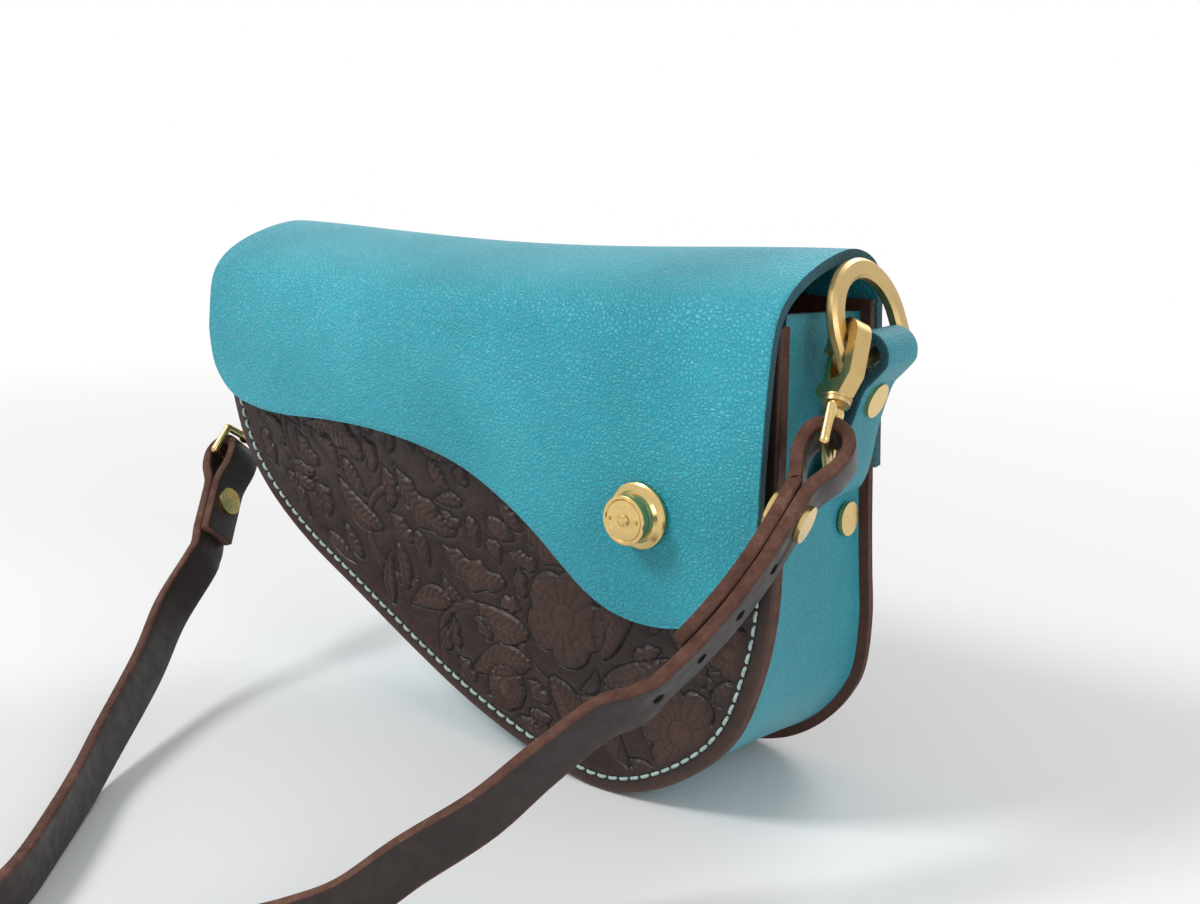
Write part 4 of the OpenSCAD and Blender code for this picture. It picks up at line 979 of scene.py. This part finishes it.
bow = left_bar - np.array([0, DEE_MID * math.cos(LEFT_BOW), DEE_LEG + DEE_MID * math.sin(LEFT_BOW)])
HOOK_AT = [leg + HOOK_LIFT[0] * eye_dir(0, (0, 0, 1)), bow + HOOK_LIFT[1] * eye_dir(1, (0, 0, 1))]
print("snaps at", [np.round(h, 2).tolist() for h in HOOK_AT])


def along(s):
    """The way the strap leaves snap s's eye."""
    a = math.radians(LEAVE[s])
    return eye_dir(s, (-math.sin(a), 0, -math.cos(a)))


def aside(s):
    """The way from the tail to the long layer."""
    a = math.radians(LEAVE[s])
    return LONG_SIDE[s] * eye_dir(s, (math.cos(a), 0, -math.sin(a)))


def across(s):
    """The way of the strap's width at end s."""
    return -eye_dir(s, (0, 1, 0))


def bend_angle(s, a):
    return (a - BEND_FROM) / BEND_R[s] if BEND_R[s] and a > BEND_FROM else 0.0


def loop_pt(s, a, b):
    """A point a along strap end s and b aside; the right end bends away past its screw."""
    t = bend_angle(s, a)
    if t > 0:
        a, b = BEND_FROM + (BEND_R[s] + b) * math.sin(t), (BEND_R[s] + b) * math.cos(t) - BEND_R[s]
    mid = HOOK_AT[s] + eye_dir(s, (0, 0, -EYE_DROP)) - LOOP_BACK * along(s)
    return mid + a * along(s) + b * aside(s)


# %% Strap route
# The loop's rows are shares of its middle radius. The route's rows are x, y, z and the turn
# of the strap's width in degrees. On the ground it stands on its edge.
LOOP = [(1.95, .42), (1.4, .64), (.85, .88), (.25, .99), (-.35, .94), (-.81, .6), (-1, 0)]
DOWN = [(39, -80, 52.5, 60), (29, -90, 41.5, 68), (20, -100, 30.5, 78), (8, -112, 20, 87),
        (-1, -123, 11, 93), (-9, -133, 7.5, 93), (-16, -144, 6.6, 91)]
ON_GROUND = [(-25, -162), (-35, -181), (-49, -199), (-67, -209), (-88, -209), (-110, -199),
             (-145, -179), (-185, -157), (-212, -143), (-222, -135), (-222, -125), (-212, -121),
             (-185, -135), (-145, -158), (-110, -179), (-92, -188), (-78, -189), (-70, -180),
             (-72, -169), (-79, -158)]
UP = [(-94, -141, 6.7, 88), (-110, -123.5, 7.2, 82), (-122, -109, 10.5, 77),
      (-142, -81, 20.5, 69), (-154, -63, 31.5, 66)]
EDGE_Z, ON_EDGE = 6.55, 90
ROUTE = DOWN + [(x, y, EDGE_Z, ON_EDGE) for x, y in ON_GROUND] + UP


def end_path(s):
    """Strap end s from its tail's tip, round the eye, to the long layer."""
    half = [(2.55 * LOOP_MID_R, LAYER_OFF)] + [(a * LOOP_MID_R, b * LOOP_MID_R) for a, b in LOOP]
    loop = half + [(a, -b) for a, b in half[-2::-1]]
    tail = [(TAILS[s], LAYER_OFF), ((TAILS[s] + half[0][0]) / 2, LAYER_OFF)]
    flat = crom(tail + loop, 6)
    return np.array([loop_pt(s, a, -b) for a, b in flat])


right_end, left_end = end_path(0), end_path(1)[::-1]
middle = ([(*loop_pt(0, u, LAYER_OFF), LOOP_TURN[0]) for u in (30, 50, RUN_OUT[0])] + ROUTE
          + [(*loop_pt(1, u, LAYER_OFF), LOOP_TURN[1]) for u in (RUN_OUT[1], 30, 22)])
middle = crom(middle, 8)[1:-1]
path = np.vstack([right_end, middle[:, :3], left_end])
heading = headings(path)
level = np.stack([-heading[:, 1], heading[:, 0], np.zeros(len(path))], 1)
level /= np.linalg.norm(level, axis=1)[:, None]
lift = np.cross(heading, level)
lean = np.concatenate([np.full(len(right_end), LOOP_TURN[0]), middle[:, 3],
                       np.full(len(left_end), LOOP_TURN[1])])
lean = np.radians(lean)[:, None]
width = np.cos(lean) * level + np.sin(lean) * lift
blend_rows = 15
width[:len(right_end) + blend_rows] = across(0)
width[len(path) - len(left_end) - blend_rows:] = across(1)
points, faces, which = ribbon(path, width, -STRAP_W / 2, STRAP_W / 2, STRAP_T, 0.75)
strap = piece("strap_leather", points, faces, [strap_brown, raw_brown, hole_painted_shade], "bag",
              ("strap",), which)

# %% [markdown]
# Adjusting holes are real holes through both layers, cut by four round punches.

# %% Strap holes
HOLE_FIRST, HOLE_STEP, HOLE_D, HOLES = 31.6, 13.1, 3.0, 4
PUNCH_REACH, PUNCH_SIDES = 8, 20


def punch_ring(u, h):
    """One end of the punch for the hole at u along the right end, h from the strap's middle."""
    centre, beyond = loop_pt(0, u, 0), loop_pt(0, u, 12)
    axis = (beyond - centre) / np.linalg.norm(beyond - centre)
    side = across(0)
    other = np.cross(axis, side)
    return [centre + axis * h + HOLE_D / 2 * (math.cos(q) * side + math.sin(q) * other)
            for q in np.linspace(0, 2 * math.pi, PUNCH_SIDES, endpoint=False)]


punch_points, punch_faces = [], []
for k in range(HOLES):
    u, n, first = HOLE_FIRST + k * HOLE_STEP, PUNCH_SIDES, len(punch_points)
    punch_points += punch_ring(u, -PUNCH_REACH) + punch_ring(u, PUNCH_REACH)
    punch_faces += [[first + q, first + (q + 1) % n, first + n + (q + 1) % n, first + n + q]
                    for q in range(n)]
    punch_faces += [list(range(first + n - 1, first - 1, -1)), list(range(first + n, first + 2 * n))]
punch_mesh = bpy.data.meshes.new("punches")
punch_mesh.from_pydata(to_world(punch_points).tolist(), [], punch_faces)
punch_mesh.materials.append(hole_painted_shade)
punch = add_object("punches", punch_mesh)
cutter = strap.modifiers.new("holes", "BOOLEAN")
cutter.object, cutter.operation, cutter.solver = punch, "DIFFERENCE", "EXACT"
# The cut walls take the punches' near-black finish: painted shade inside the holes.
cutter.material_mode = "TRANSFER"
bake(strap)
bpy.data.objects.remove(punch)
print("strap with holes:", len(strap.data.polygons), "faces")

# %% [markdown]
# The studio is a pale floor that curves up into a backdrop. A soft lamp stands over the front
# left, weaker ones at the right and behind, and a white world fills the shadows. The floor
# turns plain white away from the bag, for the camera and for what the brass reflects.


# %% Floor
def pale_floor():
    """Pale near the bag, where it takes the shadow, and plain white far away."""
    m, t, b = new_material("pale_floor")
    b.inputs["Base Color"].default_value = (.86, .86, .86, 1)
    b.inputs["Roughness"].default_value = 0.7
    rays = node(t, "ShaderNodeLightPath")
    distance_out = node(t, "ShaderNodeVectorMath", operation="LENGTH")
    t.links.new(coords(t), distance_out.inputs[0])
    far = ramp(t, maths(t, "MULTIPLY", distance_out.outputs["Value"], 0.5),
               [(0.16, (0, 0, 0)), (0.42, (1, 1, 1))])
    seen = maths(t, "MAXIMUM", rays.outputs["Is Camera Ray"], rays.outputs["Is Glossy Ray"])
    glow = node(t, "ShaderNodeEmission", Color=(1, 1, 1, 1), Strength=1.0)
    mix = node(t, "ShaderNodeMixShader")
    t.links.new(maths(t, "MULTIPLY", far, seen), mix.inputs["Fac"])
    t.links.new(b.outputs[0], mix.inputs[1])
    t.links.new(glow.outputs[0], mix.inputs[2])
    t.links.new(mix.outputs[0], t.nodes["Material Output"].inputs["Surface"])
    return m


FLOOR_SIDE, FLOOR_NEAR, CURVE_FROM, CURVE_R, WALL_TOP = 4.0, -3.0, 1.6, 0.8, 3.0
VIEW_TURN = math.radians(38.3)
curve = [(CURVE_FROM + CURVE_R * math.sin(q), CURVE_R - CURVE_R * math.cos(q))
         for q in np.linspace(0.1, math.pi / 2, 14)]
floor_line = [(FLOOR_NEAR, 0.0), (CURVE_FROM, 0.0)] + curve + [(CURVE_FROM + CURVE_R, WALL_TOP)]
floor_points = [(x, y, z) for y, z in floor_line for x in (-FLOOR_SIDE, FLOOR_SIDE)]
floor_faces = [[2 * k, 2 * k + 1, 2 * k + 3, 2 * k + 2] for k in range(len(floor_line) - 1)]
floor_mesh = bpy.data.meshes.new("studio_floor")
floor_mesh.from_pydata(floor_points, [], floor_faces)
floor = add_object("studio_floor", floor_mesh)
floor.rotation_euler = (0, 0, VIEW_TURN)
floor.location = (0, 0, -0.0001)
for p in floor_mesh.polygons:
    p.use_smooth = True
floor_mesh.materials.append(pale_floor())
print("floor with", len(floor_faces), "strips")


# %% Lamps and world
def lamp(name, place, target, size, power):
    """A round soft lamp that points at the target."""
    light = bpy.data.lights.new(name, "AREA")
    light.shape, light.size, light.energy = "DISK", size, power
    obj = add_object(name, light)
    obj.location = place
    obj.rotation_euler = (Vector(target) - Vector(place)).to_track_quat("-Z", "Y").to_euler()


lamp("key_light", (-0.45, -0.65, 0.95), (0, 0, 0.05), 0.35, 8)
lamp("side_light", (1.0, -0.25, 0.55), (0, 0, 0.07), 0.6, 2.5)
lamp("back_light", (0.1, 1.0, 0.9), (0, 0, 0.1), 0.6, 4)

world = bpy.data.worlds.new("studio_world")
bpy.context.scene.world = world
world.use_nodes = True
world_tree = world.node_tree
sky = world_tree.nodes["Background"]
sky.inputs["Color"].default_value = (1, 1, 1, 1)
SKY_FILL, SKY_IN_BRASS = 0.5, 0.8
rays = node(world_tree, "ShaderNodeLightPath")
mirrored = maths(world_tree, "MULTIPLY", rays.outputs["Is Glossy Ray"], SKY_IN_BRASS)
seen = maths(world_tree, "MAXIMUM", rays.outputs["Is Camera Ray"], mirrored)
world_tree.links.new(maths(world_tree, "MAXIMUM", seen, SKY_FILL), sky.inputs["Strength"])

# %% [markdown]
# The camera stands where the photograph was taken, as worked out from the bag's outline.

# %% Camera
camera = add_object("camera", bpy.data.cameras.new("camera"))
camera.location = (0.29377, -0.21756, 0.18108)
camera.rotation_euler = (math.radians(77.2), 0, VIEW_TURN)
camera.data.lens, camera.data.sensor_width = 40.62, 36.0
camera.data.clip_start = 0.01
bpy.context.scene.camera = camera
bpy.context.scene.view_settings.view_transform = "Standard"
